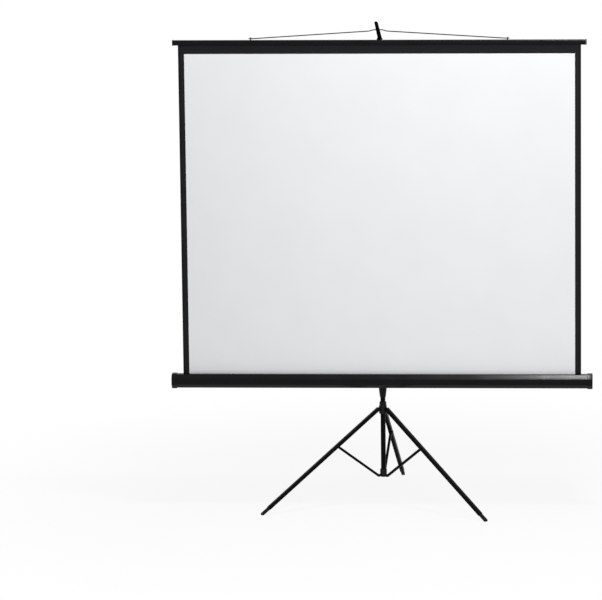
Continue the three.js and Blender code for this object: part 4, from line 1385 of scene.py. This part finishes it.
@dataclass
class Studio:
    """Camera, lamps and pale floor.

    Attributes:
        azimuth: direction of the camera from straight ahead, in degrees.
        elevation: its height above level, in degrees.
        roll: its roll, in degrees.
        lens: its focal length on a 36 mm sensor.
        distance: its distance from what it looks at, in metres.
        shift: its sideways shift.
        aim: what it looks at, from the foot of the post, in metres.
        ambient: strength of the even light from all round.
        lamps: place in metres, width in metres and power in watts of each soft lamp.
    """

    azimuth: float = 3.193
    elevation: float = 10.570
    roll: float = -0.528
    lens: float = 260.29
    distance: float = 16.6155
    shift: float = -0.12056
    aim: tuple[float, float, float] = (-0.0294, -0.0518, 0.8087)
    ambient: float = 0.24
    lamps: tuple[tuple[tuple[float, float, float], float, float], ...] = (
        ((0.8, -3.5, 2.9), 1.4, 76.0),
        ((0.75, -0.93, 4.5), 0.4, 60.0),
    )

    def camera(self) -> bpy.types.Object:
        """Sets up the camera at the photograph's viewing angle."""
        azimuth, elevation, roll = (math.radians(a) for a in (self.azimuth, self.elevation, self.roll))
        back = np.array(
            [
                math.sin(azimuth) * math.cos(elevation),
                -math.cos(azimuth) * math.cos(elevation),
                math.sin(elevation),
            ]
        )
        right = np.cross(UP, back)
        right /= np.linalg.norm(right)
        above = np.cross(back, right)
        x_axis = math.cos(roll) * right + math.sin(roll) * above
        y_axis = math.cos(roll) * above - math.sin(roll) * right
        eye = POST * MM + np.array(self.aim) + self.distance * back
        data = bpy.data.cameras.new("view")
        data.sensor_width = 36.0
        data.lens = self.lens
        data.shift_x = self.shift
        data.clip_end = 200.0
        camera = bpy.data.objects.new("view", data)
        bpy.context.scene.collection.objects.link(camera)
        turn = np.eye(4)
        turn[:3, :3] = np.stack([x_axis, y_axis, back], axis=1)
        turn[:3, 3] = eye
        camera.matrix_world = Matrix(turn.tolist())
        bpy.context.scene.camera = camera
        return camera

    def floor(self) -> bpy.types.Object:
        """A pale floor on a disc of (radius, angle), which keeps the shadow and fades to white far out."""
        radius = np.array([0.0, 0.5, 1.0, 2.0, 4.0, 8.0, 16.0, 60.0])[:, None]
        turn = np.linspace(0, 2 * np.pi, 64, endpoint=False)
        points = np.stack([radius * np.cos(turn), radius * np.sin(turn), np.full((8, 64), -0.0002)], axis=-1)
        shell = grid(points, ends=False)
        mesh = bpy.data.meshes.new("floor")
        mesh.from_pydata(shell.points.tolist(), [], shell.faces)
        work = bmesh.new()
        work.from_mesh(mesh)
        bmesh.ops.remove_doubles(work, verts=work.verts, dist=1e-6)
        work.to_mesh(mesh)
        work.free()
        material = blank_material("pale_matt_floor")
        tree = material.node_tree
        spot = add_node(tree, "ShaderNodeTexCoord", {}).outputs["Object"]
        reach = add_node(tree, "ShaderNodeVectorMath", {0: spot}, operation="LENGTH").outputs["Value"]
        bounds = {"Value": reach, "From Min": 0.5, "From Max": 2.2, "To Min": 0.88}
        far = add_node(tree, "ShaderNodeMapRange", bounds, interpolation_type="SMOOTHSTEP").outputs[0]
        seen = self.seen(tree)
        share = add_node(tree, "ShaderNodeMath", {0: far, 1: seen}, operation="MULTIPLY").outputs[0]
        matt = add_node(tree, "ShaderNodeBsdfDiffuse", {"Color": linear("f2f2f2")})
        white = add_node(tree, "ShaderNodeEmission", {"Color": (1, 1, 1, 1), "Strength": 1.0})
        shader = add_node(tree, "ShaderNodeMixShader", {0: share, 1: matt.outputs[0], 2: white.outputs[0]})
        add_node(tree, "ShaderNodeOutputMaterial", {"Surface": shader.outputs[0]})
        mesh.materials.append(material)
        floor = bpy.data.objects.new("floor", mesh)
        bpy.context.scene.collection.objects.link(floor)
        return floor

    def seen(self, tree: bpy.types.NodeTree) -> bpy.types.NodeSocket:
        """Gives 1 for the rays that show the background: seen straight, mirrored or through glass."""
        path = add_node(tree, "ShaderNodeLightPath", {})
        kinds = {0: path.outputs["Is Camera Ray"], 1: path.outputs["Is Glossy Ray"]}
        two = add_node(tree, "ShaderNodeMath", kinds, operation="MAXIMUM").outputs[0]
        three = {0: two, 1: path.outputs["Is Transmission Ray"]}
        return add_node(tree, "ShaderNodeMath", three, operation="MAXIMUM").outputs[0]

    def light(self) -> None:
        """Even light from all round, and large soft lamps above to the right."""
        world = bpy.data.worlds.new("studio")
        bpy.context.scene.world = world
        world.use_nodes = True
        tree = world.node_tree
        tree.nodes.clear()
        even = add_node(tree, "ShaderNodeBackground", {"Color": (1, 1, 1, 1), "Strength": self.ambient})
        white = add_node(tree, "ShaderNodeBackground", {"Color": (1, 1, 1, 1), "Strength": 1.0})
        mix = {0: self.seen(tree), 1: even.outputs[0], 2: white.outputs[0]}
        shader = add_node(tree, "ShaderNodeMixShader", mix)
        add_node(tree, "ShaderNodeOutputWorld", {"Surface": shader.outputs[0]})
        for number, (place, size, power) in enumerate(self.lamps, 1):
            lamp = bpy.data.lights.new(f"soft_lamp_{number}", "AREA")
            lamp.shape = "DISK"
            lamp.size = size
            lamp.energy = power
            holder = bpy.data.objects.new(lamp.name, lamp)
            bpy.context.scene.collection.objects.link(holder)
            back = np.array(place) - np.array([0.2, -0.15, 1.1])
            back /= np.linalg.norm(back)
            right = np.cross(UP, back)
            right /= np.linalg.norm(right)
            turn = np.eye(4)
            turn[:3, :3] = np.stack([right, np.cross(back, right), back], axis=1)
            turn[:3, 3] = place
            holder.matrix_world = Matrix(turn.tolist())

    def build(self) -> None:
        """Sets up the studio."""
        self.camera()
        self.floor()
        self.light()
        bpy.context.scene.view_settings.view_transform = "Standard"


def main() -> None:
    """Builds the sub-assemblies in order and the studio."""
    logging.basicConfig(level=logging.INFO, format="%(name)s: %(message)s")
    wardrobe = Wardrobe()
    mast = Mast()
    Stand().build(wardrobe)
    mast.build(wardrobe)
    Carrier().build(wardrobe)
    RollerCase().build(wardrobe, WOUND_CLOTH)
    Screen().build(wardrobe, mast)
    Studio().build()


if __name__ == "__main__":
    main()
